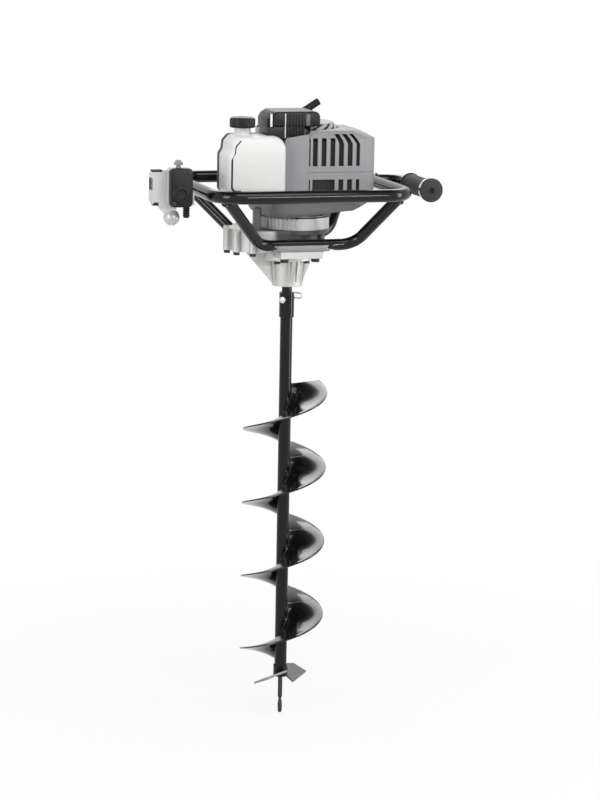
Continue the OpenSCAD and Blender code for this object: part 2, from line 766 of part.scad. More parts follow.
// Cylinder, piston and exhaust
fin_count = 7;
fin_t = 2;
port_r = 9;
module cylinder_fins() {
    fin_from = cyl_x + 1;
    fin_step = (head_x - fin_from) / fin_count;
    for (k = [0:fin_count]) translate([fin_from + k * fin_step, 0, cyl_z]) rotate([0, 90, 0])
        cylinder(h = fin_t, r = fin_r);
}
plug_r = 6;
module cylinder_block() {
    translate([cyl_x, 0, cyl_z]) rotate([0, 90, 0]) cylinder(h = head_x + head_t - cyl_x, r = bore_r + 5);
    translate([spigot_x, 0, cyl_z]) rotate([0, 90, 0]) cylinder(h = cyl_x - spigot_x + over, r = spigot_r);
    cylinder_fins();
    translate([port_x, 0, cyl_z]) rotate([90, 0, 0]) cylinder(h = -muffler_back, r = port_r + 4);
}
module cylinder_bored() {
    color(alloy) difference() {
        cylinder_block();
        translate([spigot_x - over, 0, cyl_z]) rotate([0, 90, 0]) cylinder(h = head_x - spigot_x + over, r = bore_r);
        translate([head_x - over, 0, cyl_z]) rotate([0, 90, 0]) cylinder(h = head_t + 4 * over, r = plug_r);
        translate([port_x, 0, cyl_z]) rotate([90, 0, 0]) cylinder(h = 2 * fin_r, r = port_r);
    }
}
piston_x = spigot_x;
module piston() {
    color(alloy) translate([piston_x, 0, cyl_z]) rotate([0, 90, 0]) {
        difference() {
            cylinder(h = piston_len, r = bore_r - run_fit);
            translate([0, 0, -over]) cylinder(h = piston_len - 4, r = bore_r - 4);
        }
        translate([0, 0, 10]) rotate([90, 0, 0]) cylinder(h = 2 * bore_r - 6, r = 5, center = true);
    }
}
muffler_w = 58;
muffler_h = 62;
muffler_z = deck_z + 6;
module muffler() {
    color(steel) difference() {
        translate([0, 0, muffler_z]) linear_extrude(muffler_h) round_rect(muffler_x, -cover_front + 8,
            muffler_x + muffler_w, muffler_back, 8);
        translate([0, 0, muffler_z + 2]) linear_extrude(muffler_h - 4) round_rect(muffler_x + 2,
            -cover_front + 10, muffler_x + muffler_w - 2, muffler_back - 2, 6);
        translate([port_x, muffler_back + over, cyl_z]) rotate([90, 0, 0]) cylinder(h = 4, r = port_r);
        translate([muffler_x + muffler_w - 8, -cover_front + 20, muffler_z - over]) cylinder(h = 6, r = 5);
    }
}
module spark_plug() {
    color("#e9e6dd") translate([head_x + 1, 0, cyl_z]) rotate([0, 90, 0]) {
        cylinder(h = head_t - 1, r = plug_r);
        translate([0, 0, head_t - 1]) cylinder(h = 5, r = 9, $fn = 6);
        translate([0, 0, head_t + 4]) cylinder(h = 8, r = 4.5);
    }
}
boot_x = head_x + head_t + 5;
module plug_boot() {
    color(black) translate([boot_x, 0, cyl_z]) rotate([0, 90, 0]) difference() {
        cylinder(h = 12, r = 8);
        translate([0, 0, -over]) cylinder(h = 8 + over, r = 4.5);
    }
}

// Slotted cover over the cylinder and the muffler
module cover_plan(shrink, back) {
    r = corner_r - shrink;
    x0 = cover_left + shrink;
    x1 = cover_right - shrink;
    y0 = -cover_front + shrink;
    translate([x0, y0]) square([x1 - x0 - r, back - y0]);
    translate([x0, y0 + r]) square([x1 - x0, back - y0 - r]);
    translate([x1 - r, y0 + r]) circle(r);
}
upper_slot_z = deck_z + 50;
upper_slot_h = 48;
lower_slot_z = deck_z + 4;
lower_slot_h = 22;
first_slot = cover_left + 12;
module cover_slots() {
    y0 = -cover_front - over;
    for (k = [0:5]) pull_y(y0, y0 + 22) translate([first_slot + k * slot_step, upper_slot_z])
        square([slot_w, upper_slot_h]);
    for (k = [3:5]) pull_y(y0, y0 + 22) translate([first_slot + k * slot_step, lower_slot_z])
        square([slot_w, lower_slot_h]);
    pull_y(y0, y0 + 8) translate([first_slot, lower_slot_z]) square([2.6 * slot_step, lower_slot_h]);
}
bevel_w = 26;
bevel_h = 14;
module cover_front_view(shrink) {
    x0 = cover_left + shrink;
    x1 = cover_right - shrink;
    z1 = cover_top - shrink;
    polygon([[x0, deck_z - over], [x1, deck_z - over], [x1, z1 - bevel_h], [x1 - bevel_w, z1], [x0 + 10, z1],
        [x0, z1 - 10]]);
}
module cover_side_view(shrink) {
    y0 = -cover_front + shrink;
    z1 = cover_top - shrink;
    polygon([[y0, deck_z - 2 * over], [y0, z1 - 8], [y0 + 14, z1], [cover_back + 2 * over, z1],
        [cover_back + 2 * over, deck_z - 2 * over]]);
}
module cover_solid(shrink, foot, back) {
    intersection() {
        translate([0, 0, deck_z - foot]) linear_extrude(cover_h + foot) cover_plan(shrink, back);
        pull_y(-2 * cover_front, 2 * cover_front) cover_front_view(shrink);
        rotate([0, 0, 90]) pull_y(-2 * cover_right, 2 * cover_right) cover_side_view(shrink);
    }
}
// The cheek hides the carburettor from the front.
module cover_cheek() {
    translate([0, 0, deck_z]) linear_extrude(cheek_h)
        polygon([[cover_left + 2, 0.5 - cover_front], [cheek_left, carb_front - 4],
            [cheek_left, carb_front - 4 + cover_wall], [cover_left + 2, 4 - cover_front]]);
}
module engine_cover() {
    color(grey) difference() {
        union() {
            cover_solid(0, 0, cover_back);
            cover_cheek();
        }
        cover_solid(cover_wall, over, cover_back + over);
        translate([crank_x, 0, deck_z - over]) cylinder(h = cover_h, r = case_r + air_gap);
        translate([crank_x, 0, recoil_z - case_wall - air_gap]) cylinder(h = cover_h, r = recoil_r + air_gap);
        cover_slots();
    }
}

// Carburettor and choke
stub_r = 12;
module carburettor() {
    color(alloy) difference() {
        union() {
            translate([0, 0, carb_z]) linear_extrude(filter_base_z - carb_z)
                round_rect(carb_x - 15, carb_front + 6, carb_x + 15, carb_back, 4);
            translate([carb_x, -case_r / 2, carb_z + 18]) rotate([90, 0, 0])
                cylinder(h = -carb_back - case_r / 2 + over, r = stub_r);
        }
        translate([crank_x, 0, deck_z]) cylinder(h = case_h, r = case_r);
        translate([crank_x, 0, recoil_z - air_gap]) cylinder(h = case_h, r = recoil_r + air_gap);
        translate([carb_x, carb_front + 18, choke_z]) rotate([90, 0, 0]) cylinder(h = 20, r = 3 + run_fit);
    }
}
choke_len = 20;
module choke_lever() {
    color(black) {
        translate([carb_x, carb_front + 16, choke_z]) rotate([90, 0, 0]) cylinder(h = 14, r = 3);
        pull_y(carb_front + 2, carb_front + 5) {
            translate([carb_x, choke_z]) circle(6);
            translate([carb_x - 3, choke_z - choke_len]) square([6, choke_len]);
            translate([carb_x, choke_z - choke_len]) circle(4);
        }
    }
}

// Recoil starter
dome_t = 2.5;
module recoil_cover() {
    color("#a9abad") translate([crank_x, 0, recoil_z]) difference() {
        rotate_extrude() polygon([[0, recoil_h - dome_t], [recoil_r - 30, recoil_h - dome_t],
            [recoil_r - 12, 6], [recoil_r - 12, 0], [recoil_r, 0], [recoil_r, 4],
            [recoil_r - 9, 7], [recoil_r - 27, recoil_h], [0, recoil_h]]);
        for (a = [-60:20:200]) rotate([0, 0, a]) translate([recoil_r - 32, -2.2, 4.5])
            cube([20, 4.4, recoil_h]);
        for (a = [0:90:270]) rotate([0, 0, a]) translate([recoil_screw_r, 0, -over])
            cylinder(h = 12, r = 2);
        for (a = [0:90:270]) rotate([0, 0, a]) translate([recoil_screw_r, 0, 6])
            cylinder(h = recoil_h, r = 4.3);
        translate([handle_px - crank_x, handle_py, 0]) cylinder(h = 2 * recoil_h, r = guide_r);
    }
}
module recoil_screws() {
    color(steel) translate([crank_x, 0, recoil_z]) for (a = [0:90:270]) rotate([0, 0, a])
        translate([recoil_screw_r, 0, 0]) {
            translate([0, 0, -case_wall]) cylinder(h = case_wall + 6, r = 2);
            translate([0, 0, 6]) cylinder(h = 2.5, r = 4);
        }
}
guide_r = 6;
stem_r = guide_r - 0.4;
module recoil_handle() {
    color(black) translate([handle_px, handle_py, 0]) {
        translate([0, 0, recoil_z + recoil_h - 6]) cylinder(h = handle_bar_z - recoil_z - recoil_h + 6, r = stem_r);
        translate([0, 0, handle_bar_z]) rotate([0, 90 - handle_tilt, 0])
            cylinder(h = handle_bar, r = handle_bar_d / 2, center = true);
    }
}

// Air filter
module air_filter_base() {
    color(black) translate([0, 0, filter_base_z]) linear_extrude(filter_split - filter_base_z) difference() {
        round_rect(filter_left + 4, filter_front + 2, cover_left - 2, -30, 6);
        translate([crank_x, 0]) circle(recoil_r + air_gap);
    }
}
filter_wall = 2.5;
filter_round = 12;
module air_filter_cover() {
    color(black) difference() {
        intersection() {
            translate([0, 0, filter_split]) linear_extrude(filter_top - filter_split)
                round_rect(filter_left, filter_front, filter_right, filter_back, filter_round);
            pull_y(filter_front - over, filter_back + over) polygon([[filter_left, filter_split - over],
                [filter_right, filter_split - over], [filter_right, filter_top], [filter_left + 16, filter_top],
                [filter_left, filter_top - 12]]);
        }
        translate([0, 0, filter_split - over]) linear_extrude(filter_top - filter_split - filter_wall)
            round_rect(filter_left + filter_wall + 8, filter_front + filter_wall, filter_right - filter_wall,
                filter_back - filter_wall, filter_round - filter_wall);
    }
}
module filter_element() {
    color("#4a4c3e") translate([0, 0, filter_split]) linear_extrude(filter_top - filter_split - filter_wall - 3)
        round_rect(filter_left + 20, filter_front + 8, filter_right - 10, filter_back - 8, 6);
}

// Fuel tank
module tank_solid(shrink) {
    intersection() {
        translate([0, 0, tank_z + shrink]) linear_extrude(tank_h - 2 * shrink)
            round_rect(tank_left + shrink, tank_front + shrink, tank_right - shrink, tank_back - shrink,
                12 - shrink);
        pull_y(tank_front, tank_back) round_rect(tank_left + shrink, tank_z + shrink, tank_right - shrink,
            tank_top - shrink, 22 - shrink);
    }
}
module fuel_tank() {
    color("#e6e6df") difference() {
        union() {
            tank_solid(0);
            translate([cap_x, cap_y, tank_top - 4]) cylinder(h = neck_h + 4, r = neck_r);
        }
        tank_solid(tank_wall);
        translate([cap_x, cap_y, tank_top - 12]) cylinder(h = neck_h + 20, r = neck_r - tank_wall);
    }
}
module tank_bracket() {
    color(black) {
        translate([tank_left + 24, tank_front + 14, deck_z]) cube([tank_w - 26, tank_dp - 22, bracket_t]);
    }
}
module fuel_cap() {
    color(black) translate([cap_x, cap_y, cap_z]) difference() {
        cylinder(h = cap_h, r = cap_d / 2);
        translate([0, 0, -over]) cylinder(h = neck_h - cap_z + tank_top + 0.4 + over, r = neck_r + run_fit);
    }
}

// Carrying frame
module loop_rod(r) {
    for (s = [-1, 1]) {
        rod([-loop_hx + loop_bend, s * loop_hy, loop_z], [loop_hx - loop_bend, s * loop_hy, loop_z], r);
        rod([s * loop_hx, -loop_hy + loop_bend, loop_z], [s * loop_hx, loop_hy - loop_bend, loop_z], r);
    }
    for (a = [0:90:270]) translate([(loop_hx - loop_bend) * sign(cos(a + 45)),
        (loop_hy - loop_bend) * sign(sin(a + 45)), loop_z]) rotate([0, 0, a])
        rotate_extrude(angle = 90) translate([loop_bend, 0]) circle(r);
}
module frame_loop() {
    color(black) loop_rod(frame_r);
}
// One bent leg as short straight runs, with a ball at each change of direction
bead = 0.4;
module stay_leg(s, y) {
    top = [s * corner_x, y * corner_y, loop_z];
    knee = [s < 0 ? -stay_left_x : stay_right_x, y * stay_y, stay_z];
    foot = [s * (pad_hx - 8), y * stay_y, stay_z];
    d0 = unit(knee - top);
    a = turn(top, knee, foot);
    c = knee + unit(unit(foot - knee) - d0) * stay_bend / cos(a / 2);
    out = unit(knee - d0 * stay_bend * tan(a / 2) - c);
    p = concat([top], [for (k = [0:2]) c + stay_bend * (cos(k * a / 2) * out + sin(k * a / 2) * d0)], [foot]);
    for (i = [0:3]) rod(p[i], p[i + 1], stay_r);
    for (i = [1:3]) translate(p[i]) sphere(stay_r + bead);
}
// A stay on the far side, y = 1, or the near side, y = -1, from the mirrored one.
module stay(y) {
    color(black) mirror([0, 1, 0]) difference() {
        union() {
            for (s = [-1, 1]) stay_leg(s, y);
            translate([-pad_hx, y * stay_y - pad_w / 2, foot_top]) cube([2 * pad_hx, pad_w, pad_t]);
        }
        loop_rod(frame_r);
        for (x = [-stay_bolt_x, stay_bolt_x]) translate([x, y * stay_y, foot_top - over])
            cylinder(h = pad_t + 2 * over, r = stay_bolt_r);
    }
}
module front_stay() stay(1);
module rear_stay() stay(-1);
module stay_bolts() {
    color(steel) for (x = [-stay_bolt_x, stay_bolt_x], y = [-stay_y, stay_y])
        translate([x, y, foot_top - foot_t]) hex_bolt(stay_bolt_r, pad_t + foot_t);
}
handle_bore_r = frame_r - 2;
module handle_path(r, from) {
    bent_rod([[handle_x, from, loop_z], [handle_x, handle_turn_y, loop_z], [loop_hx, handle_turn_y, loop_z]],
        handle_bend, r);
}
module right_handle_tube() {
    color(black) difference() {
        handle_path(frame_r, handle_front);
        handle_path(handle_bore_r, handle_front - over);
        loop_rod(frame_r);
    }
}
module left_handle_tube() mirror([1, 0, 0]) right_handle_tube();
module grip(front, disc) {
    color(black) difference() {
        union() {
            rod([0, front, loop_z], [0, grip_back, loop_z], grip_d / 2);
            rod([0, front, loop_z], [0, front + 5, loop_z], disc);
            rod([0, grip_back - 4, loop_z], [0, grip_back, loop_z], grip_d / 2 + 2);
        }
        rod([0, handle_front, loop_z], [0, grip_back + over, loop_z], frame_r);
        rod([0, front - over, loop_z], [0, handle_front + over, loop_z], 4.5);
    }
}
module right_grip() translate([handle_x, 0, 0]) grip(grip_front, flange_grip_r);
module left_grip() translate([-handle_x, 0, 0]) grip(left_grip_front, grip_d / 2 + 2);

// Throttle unit
module shell_outline() {
    round_rect(throttle_x0, throttle_z0, throttle_x1, throttle_z1, shell_round);
}
module handle_hole() {
    rod([throttle_x, handle_front, loop_z], [throttle_x, throttle_back + over, loop_z], frame_r);
}
module button_hole() {
    translate([button_x, ferrule_y, throttle_z1 - 18]) cylinder(h = 30, r = button_r + run_fit);
}
shell_screw_r = 2;
shell_screw_points = [[throttle_x0 + 6, throttle_z0 + 7], [throttle_x1 - 6, throttle_z1 - 7]];
module shell_screw_holes() {
    for (p = shell_screw_points) rod([p.x, throttle_front - over, p.y], [p.x, throttle_split + 10, p.y],
        shell_screw_r);
}
boss_r = 14;
module throttle_front_shell() {
    color(black) difference() {
        union() {
            pull_y(throttle_front, throttle_split) shell_outline();
            rod([throttle_x + 4, throttle_front - 3, loop_z + 2],
                [throttle_x + 4, throttle_front + over, loop_z + 2], boss_r);
        }
        shell_screw_holes();
    }
}
module throttle_rear_shell() {
    color("#aeb0b2") difference() {
        union() {
            pull_y(throttle_split, throttle_back) shell_outline();
            translate([throttle_x1 - over, throttle_split, throttle_z0 + 2]) cube([6 + over, 9, 18]);
        }
        handle_hole();
        button_hole();
        shell_screw_holes();
        translate([ferrule_x, ferrule_y, throttle_z0 - over]) cylinder(h = 10 + over, r = 4);
    }
}
module throttle_screws() {
    color(steel) for (p = shell_screw_points) {
        rod([p.x, throttle_front, p.y], [p.x, throttle_split + 10, p.y], shell_screw_r);
        rod([p.x, throttle_front - 2, p.y], [p.x, throttle_front, p.y], 3.5);
    }
}
module throttle_lever() {
    color("#aeb0b2") difference() {
        union() {
            pull_y(lever_front, lever_back) {
                translate([throttle_x, loop_z]) circle(lever_hub_r);
                round_rect(lever_left, throttle_z0 + 2, throttle_x - 6, throttle_z1 - 6, 8);
                polygon([[lever_left + 6, throttle_z0 + 6], [ball_x - 6, ball_z], [ball_x + 6, ball_z],
                    [throttle_x + 4, loop_z - 10], [throttle_x - 10, loop_z]]);
            }
            translate([ball_x, (lever_front + lever_back) / 2, ball_z]) sphere(ball_r);
        }
        rod([throttle_x, lever_front - over, loop_z], [throttle_x, lever_back + over, loop_z],
            frame_r + run_fit);
    }
}
module stop_button() {
    color("#c9cbcc") translate([button_x, ferrule_y, 0]) {
        translate([0, 0, throttle_z1 - 12]) cylinder(h = 12 + button_travel + 2, r = button_r);
        translate([0, 0, throttle_z1 + button_travel + 0.5]) cylinder(h = 8, r = button_cap_r);
    }
}
module cable_ferrule() {
    color(black) translate([ferrule_x, ferrule_y, 0]) {
        translate([0, 0, throttle_z0 - ferrule_h]) cylinder(h = ferrule_h, r = ferrule_r);
        translate([0, 0, throttle_z0 - over]) cylinder(h = 11, r = 4);
    }
}

pilot_point();
cutter_blades();
auger_tube();
flight_turn_1();
flight_turn_2();
flight_turn_3();
flight_turn_4();
coupling_sleeve();
drive_pin();
pin_clip();
output_shaft();
output_gear();
layshaft();
lay_gear();
clutch_drum();
shaft_bearings();
output_bearings();
gearbox_nose();
gearbox_body();
gearbox_cover();
housing_bolts();
oil_plug();
clutch_housing();
clutch_screws();
clutch_shoes();
fan_housing();
flywheel();
crankshaft();
crankcase();
piston();
cylinder_bored();  // cylinder
muffler();
spark_plug();
plug_boot();
engine_cover();
carburettor();
choke_lever();
recoil_cover();
recoil_screws();
recoil_handle();
air_filter_base();
filter_element();
air_filter_cover();
tank_bracket();
fuel_tank();
fuel_cap();
frame_loop();
front_stay();
rear_stay();
stay_bolts();
left_handle_tube();
right_handle_tube();
left_grip();
right_grip();
throttle_rear_shell();
throttle_front_shell();
throttle_screws();
throttle_lever();
stop_button();
cable_ferrule();
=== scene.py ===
import bpy
import bmesh
from math import ceil, cos, pi, radians, sin, sqrt, tan
from mathutils import Matrix, Vector


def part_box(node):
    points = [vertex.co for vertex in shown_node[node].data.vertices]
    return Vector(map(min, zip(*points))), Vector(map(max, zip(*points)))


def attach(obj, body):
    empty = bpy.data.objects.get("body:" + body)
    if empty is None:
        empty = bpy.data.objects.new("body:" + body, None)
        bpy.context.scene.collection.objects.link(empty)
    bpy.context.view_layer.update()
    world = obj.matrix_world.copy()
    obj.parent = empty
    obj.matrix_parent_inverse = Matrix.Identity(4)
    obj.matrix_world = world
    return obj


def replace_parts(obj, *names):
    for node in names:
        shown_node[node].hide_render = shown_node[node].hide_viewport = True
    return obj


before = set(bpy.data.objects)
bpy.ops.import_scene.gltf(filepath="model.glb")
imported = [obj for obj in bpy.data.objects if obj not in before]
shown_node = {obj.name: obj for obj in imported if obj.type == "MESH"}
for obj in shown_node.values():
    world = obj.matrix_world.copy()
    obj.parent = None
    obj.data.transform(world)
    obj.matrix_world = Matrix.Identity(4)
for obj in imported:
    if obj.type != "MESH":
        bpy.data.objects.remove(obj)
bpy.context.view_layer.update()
mm = 0.001

# The studio: a long lens a little above the engine and to its left, in front of a white sweep.
# The camera is set by where the bit's point falls in the picture and how far away it stands.
picture_w, picture_h = 600, 800
focal_px = 2700
look_down = radians(10.87)
walk_round = radians(-17)
camera_lean = radians(1.05)
point_px = Vector((279.6, 712))
point_depth = 4.9108

forward = Vector((-sin(walk_round) * cos(look_down), cos(walk_round) * cos(look_down), -sin(look_down)))
level = Vector((cos(walk_round), sin(walk_round), 0))
right = level * cos(camera_lean) + level.cross(forward) * sin(camera_lean)
up = right.cross(forward)
across = (point_px.x - picture_w / 2) / focal_px * point_depth
above = (picture_h / 2 - point_px.y) / focal_px * point_depth
camera_data = bpy.data.cameras.new("camera")
sensor = 36
camera_data.sensor_width = sensor
camera_data.lens = sensor * focal_px / picture_h
camera = bpy.data.objects.new("camera", camera_data)
camera.location = -(forward * point_depth + right * across + up * above)
camera.rotation_mode = "QUATERNION"
camera.rotation_quaternion = Matrix((right, up, -forward)).transposed().to_quaternion()
bpy.context.scene.collection.objects.link(camera)
bpy.context.scene.camera = camera
bpy.context.scene.view_settings.view_transform = "Standard"


class Flow:
    """An output socket in a node tree. Arithmetic on it adds Math nodes, and node() adds any other node."""

    def __init__(self, tree, socket=None):
        self.tree = tree
        self.socket = socket

    def node(self, kind, settings=None, inputs=None, output=0):
        made = self.tree.nodes.new("ShaderNode" + kind)
        for name, value in (settings or {}).items():
            if name == "stops":
                for stop, (place, shade) in zip(made.color_ramp.elements, value):
                    stop.position = place
                    stop.color = (*shade, 1)
            else:
                setattr(made, name, value)
        for name, value in (inputs or {}).items():
            if isinstance(value, Flow):
                self.tree.links.new(value.socket, made.inputs[name])
            else:
                made.inputs[name].default_value = value
        return Flow(self.tree, made.outputs[output])

    def sum(self, operation, *values):
        return self.node("Math", {"operation": operation}, dict(enumerate(values)))

    def __add__(self, other):
        return self.sum("ADD", self, other)

    def __sub__(self, other):
        return self.sum("SUBTRACT", self, other)

    def __rsub__(self, other):
        return self.sum("SUBTRACT", other, self)

    def __mul__(self, other):
        return self.sum("MULTIPLY", self, other)

    __radd__ = __add__
    __rmul__ = __mul__

    def into(self, shader, name):
        self.tree.links.new(self.socket, shader.inputs[name])


def backdrop_light(tree):
    """One for rays that should see the white sweep, nought for those that light the object."""
    ray = Flow(tree)
    seen = [ray.node("LightPath", output=name) for name in
            ("Is Camera Ray", "Is Glossy Ray", "Is Transmission Ray")]
    return ray.sum("MAXIMUM", ray.sum("MAXIMUM", seen[0], seen[1]), seen[2])


world = bpy.data.worlds.new("white_sweep")
world.use_nodes = True
bpy.context.scene.world = world
room_light = 0.5
sweep = backdrop_light(world.node_tree)
way_up = sweep.node("SeparateXYZ", inputs={0: sweep.node("TexCoord", output="Generated")}, output=2)
ceiling = sweep.node("MapRange", {"interpolation_type": "SMOOTHSTEP"},
                     {"Value": way_up, "From Min": 0.62, "From Max": 0.9, "To Min": 1, "To Max": 0.12})
(room_light * (1 - sweep) + sweep * ceiling).into(world.node_tree.nodes["Background"], "Strength")
world.node_tree.nodes["Background"].inputs["Color"].default_value = (1, 1, 1, 1)

floor_mesh = bpy.data.meshes.new("floor")
floor_half = 40
floor_signs = ((-1, -1), (1, -1), (1, 1), (-1, 1))
floor_mesh.from_pydata([(floor_half * sx, floor_half * sy, 0) for sx, sy in floor_signs], [], [(0, 1, 2, 3)])
floor = bpy.data.objects.new("floor", floor_mesh)
floor.location.z = -2 * mm
bpy.context.scene.collection.objects.link(floor)
floor_paint = bpy.data.materials.new("floor_paint")
floor_paint.use_nodes = True
floor_tree = floor_paint.node_tree
floor_tree.nodes.remove(floor_tree.nodes["Principled BSDF"])
paint = Flow(floor_tree)
matt = paint.node("BsdfDiffuse", inputs={"Color": (0.86, 0.86, 0.86, 1)})
glow = paint.node("Emission", inputs={"Color": (1, 1, 1, 1), "Strength": 1})
floor_spot = paint.node("TexCoord", output="Object")
floor_far = paint.node("VectorMath", {"operation": "LENGTH"}, {0: floor_spot}, output="Value")
fade = paint.node("MapRange", {"interpolation_type": "SMOOTHSTEP"},
                  {"Value": floor_far, "From Min": 0.2, "From Max": 1.4, "To Min": 0.87, "To Max": 1.0})
floor_mix = paint.node("MixShader", inputs={0: fade * backdrop_light(floor_tree), 1: matt, 2: glow})
floor_mix.into(floor_tree.nodes["Material Output"], "Surface")
floor_mesh.materials.append(floor_paint)


def softbox(name, place, aim, size, power):
    lamp_data = bpy.data.lights.new(name, "AREA")
    lamp_data.shape = "RECTANGLE"
    lamp_data.size, lamp_data.size_y = size
    lamp_data.energy = power
    lamp = bpy.data.objects.new(name, lamp_data)
    lamp.location = place
    lamp.rotation_euler = (Vector(aim) - Vector(place)).to_track_quat("-Z", "Y").to_euler()
    bpy.context.scene.collection.objects.link(lamp)
    return lamp


engine_place = (0, 0, 0.95)
bit_place = (0, 0, 0.4)
softbox("top_box", (0.0, -1.3, 2.8), engine_place, (1.6, 1.2), 22)
softbox("left_box", (-2.6, -1.6, 1.5), engine_place, (1.0, 1.8), 39)
softbox("right_box", (2.4, -1.2, 1.0), bit_place, (0.7, 2.2), 36)
# A reflector behind the bit only shows as a sheen on the paint.
reflector = softbox("back_box", (0.75, 2.3, 2.6), bit_place, (2.0, 1.2), 30)
reflector.visible_diffuse = False
# A strip lamp in front draws the bright line along the frame's tubes.
strip_lamp = softbox("strip_box", (1.35, -4.4, 1.75), engine_place, (1.6, 0.1), 55)
strip_lamp.visible_diffuse = False


# The auger tube, a drawn steel tube sprayed gloss black, with the flight welded to it.
# The paint has a faint orange peel and is a little duller where dust has settled.
black = (0.0015, 0.0015, 0.0018)
dusty_black = (0.005, 0.005, 0.0055)
paint_wear = (0.05, 0.05, 0.05)
edge_round = 0.7 * mm


def coating(name, settings):
    """A new material with its shader's constant values set, the shader, and its nodes' starting point."""
    material = bpy.data.materials.new(name)
    material.use_nodes = True
    shader = material.node_tree.nodes["Principled BSDF"]
    for socket, value in settings.items():
        shader.inputs[socket].default_value = value
    return material, shader, Flow(material.node_tree)


def grain(flow, scale, detail=3, stretch=(1, 1, 1), seed=0):
    """Noise over the surface, in the object's own metres."""
    place = flow.node("TexCoord", output="Object")
    place = flow.node("Mapping", inputs={"Vector": place, "Scale": stretch, "Location": (seed, seed, seed)})
    return flow.node("TexNoise", inputs={"Vector": place, "Scale": scale, "Detail": detail})


def tint(flow, dark, light, mask):
    return flow.node("Mix", {"data_type": "RGBA"}, {0: mask, 6: (*dark, 1), 7: (*light, 1)}, output=2)


def relief(flow, shader, height, depth, strength=1.0, rounding=edge_round):
    """Bumps the surface by a height, with its edges eased."""
    eased = flow.node("Bevel", {"samples": 6}, {"Radius": rounding})
    bump = flow.node("Bump", inputs={"Height": height, "Distance": depth, "Strength": strength,
                                     "Normal": eased})
    bump.into(shader, "Normal")


def rubbed(flow, amount):
    """A mask of the outer edges, where hands and tools rub a finish."""
    eased = flow.node("Bevel", {"samples": 6}, {"Radius": 1.2 * mm})
    plain = flow.node("NewGeometry", output="Normal")
    same = flow.node("VectorMath", {"operation": "DOT_PRODUCT"}, {0: eased, 1: plain}, output="Value")
    return flow.sum("MINIMUM", (1 - same) * amount, 1)


def enamel(name, dark, light, gloss, index=1.38):
    material, shader, flow = coating(name, {"IOR": index})
    dust = grain(flow, 26, 6)
    worn = rubbed(flow, 3) * grain(flow, 120, 4)
    coat = tint(flow, dark, light, dust)
    shown = flow.node("Mix", {"data_type": "RGBA"}, {0: worn, 6: coat, 7: (*paint_wear, 1)}, output=2)
    shown.into(shader, "Base Color")
    (gloss + 0.12 * dust + 0.2 * worn).into(shader, "Roughness")
    relief(flow, shader, grain(flow, 320, 2), 0.03 * mm, 0.12)
    return material


bit_enamel = enamel("bit_enamel", black, dusty_black, 0.08, 1.34)
flight_enamel = enamel("flight_enamel", black, dusty_black, 0.08, 1.5)


def finish_nodes(material, *names):
    """Gives CAD nodes a finish."""
    for name in names:
        shown_node[name].data.materials.clear()
        shown_node[name].data.materials.append(material)


finish_nodes(bit_enamel, "auger_tube", "coupling_sleeve", "output_shaft")

# The flight, four turns of pressed plate rolled on the helix and welded end to end and to the tube.
# Its rim is rounded over and a weld bead runs along its root.
flight_r = 75 * mm
tube_r = 11 * mm
flight_t = 3 * mm
flight_pitch = 135 * mm
flight_top_turn = 19
flight_turns = 3.77
flight_rows = 10
flight_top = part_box("flight_turn_1")[1].z


def new_piece(name, vertices, faces, material, smooth=35):
    """A mesh object, shaded smooth except over edges sharper than an angle."""
    mesh = bpy.data.meshes.new(name)
    mesh.from_pydata([tuple(v) for v in vertices], [], faces)
    shape = bmesh.new()
    shape.from_mesh(mesh)
    bmesh.ops.remove_doubles(shape, verts=shape.verts, dist=1e-7)
    bmesh.ops.recalc_face_normals(shape, faces=shape.faces)
    shape.to_mesh(mesh)
    shape.free()
    mesh.shade_smooth()
    mesh.set_sharp_from_angle(angle=radians(smooth))
    mesh.materials.append(material)
    piece = bpy.data.objects.new(name, mesh)
    bpy.context.scene.collection.objects.link(piece)
    return piece


def loft(rings, closed_ring=True, ends=True, loop=False):
    """Vertices and faces of a skin over rings of equally many points."""
    count = len(rings[0])
    vertices = [point for ring in rings for point in ring]
    faces = []
    last = len(rings) if loop else len(rings) - 1
    for i in range(last):
        a, b = i * count, (i + 1) % len(rings) * count
        for k in range(count if closed_ring else count - 1):
            n = (k + 1) % count
            faces.append((a + k, a + n, b + n, b + k))
    if ends and not loop:
        faces.append(tuple(reversed(range(count))))
        faces.append(tuple(range((len(rings) - 1) * count, len(rings) * count)))
    return vertices, faces


def flight_section(turn_deg):
    """The plate's cross-section at one angle, from the tube out to the rounded rim and back."""
    a = radians(turn_deg)
    z = flight_top + (turn_deg - flight_top_turn) / 360 * flight_pitch
    rim = flight_t / 2
    inner, outer = tube_r - 0.4 * mm, flight_r - rim
    rows = [inner + (outer - inner) * k / flight_rows for k in range(flight_rows + 1)]
    outline = [(r, 0) for r in rows]
    outline += [(flight_r - rim + rim * sin(t), -rim + rim * cos(t)) for t in (pi / 4, pi / 2, 3 * pi / 4)]
    outline += [(r, -flight_t) for r in reversed(rows)]
    return [Vector((r * cos(a), r * sin(a), z + dz)) for r, dz in outline]


flight_step = 3
for k in range(ceil(flight_turns)):
    start = flight_top_turn - 360 * min(k + 1, flight_turns)
    stop = flight_top_turn - 360 * k
    steps = ceil((stop - start) / flight_step)
    turns = [start + (stop - start) * i / steps for i in range(steps + 1)]
    name = f"flight_turn_{k + 1}"
    piece = new_piece(f"flight_plate_{k + 1}", *loft([flight_section(t) for t in turns]), flight_enamel)
    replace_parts(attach(piece, "auger"), name)


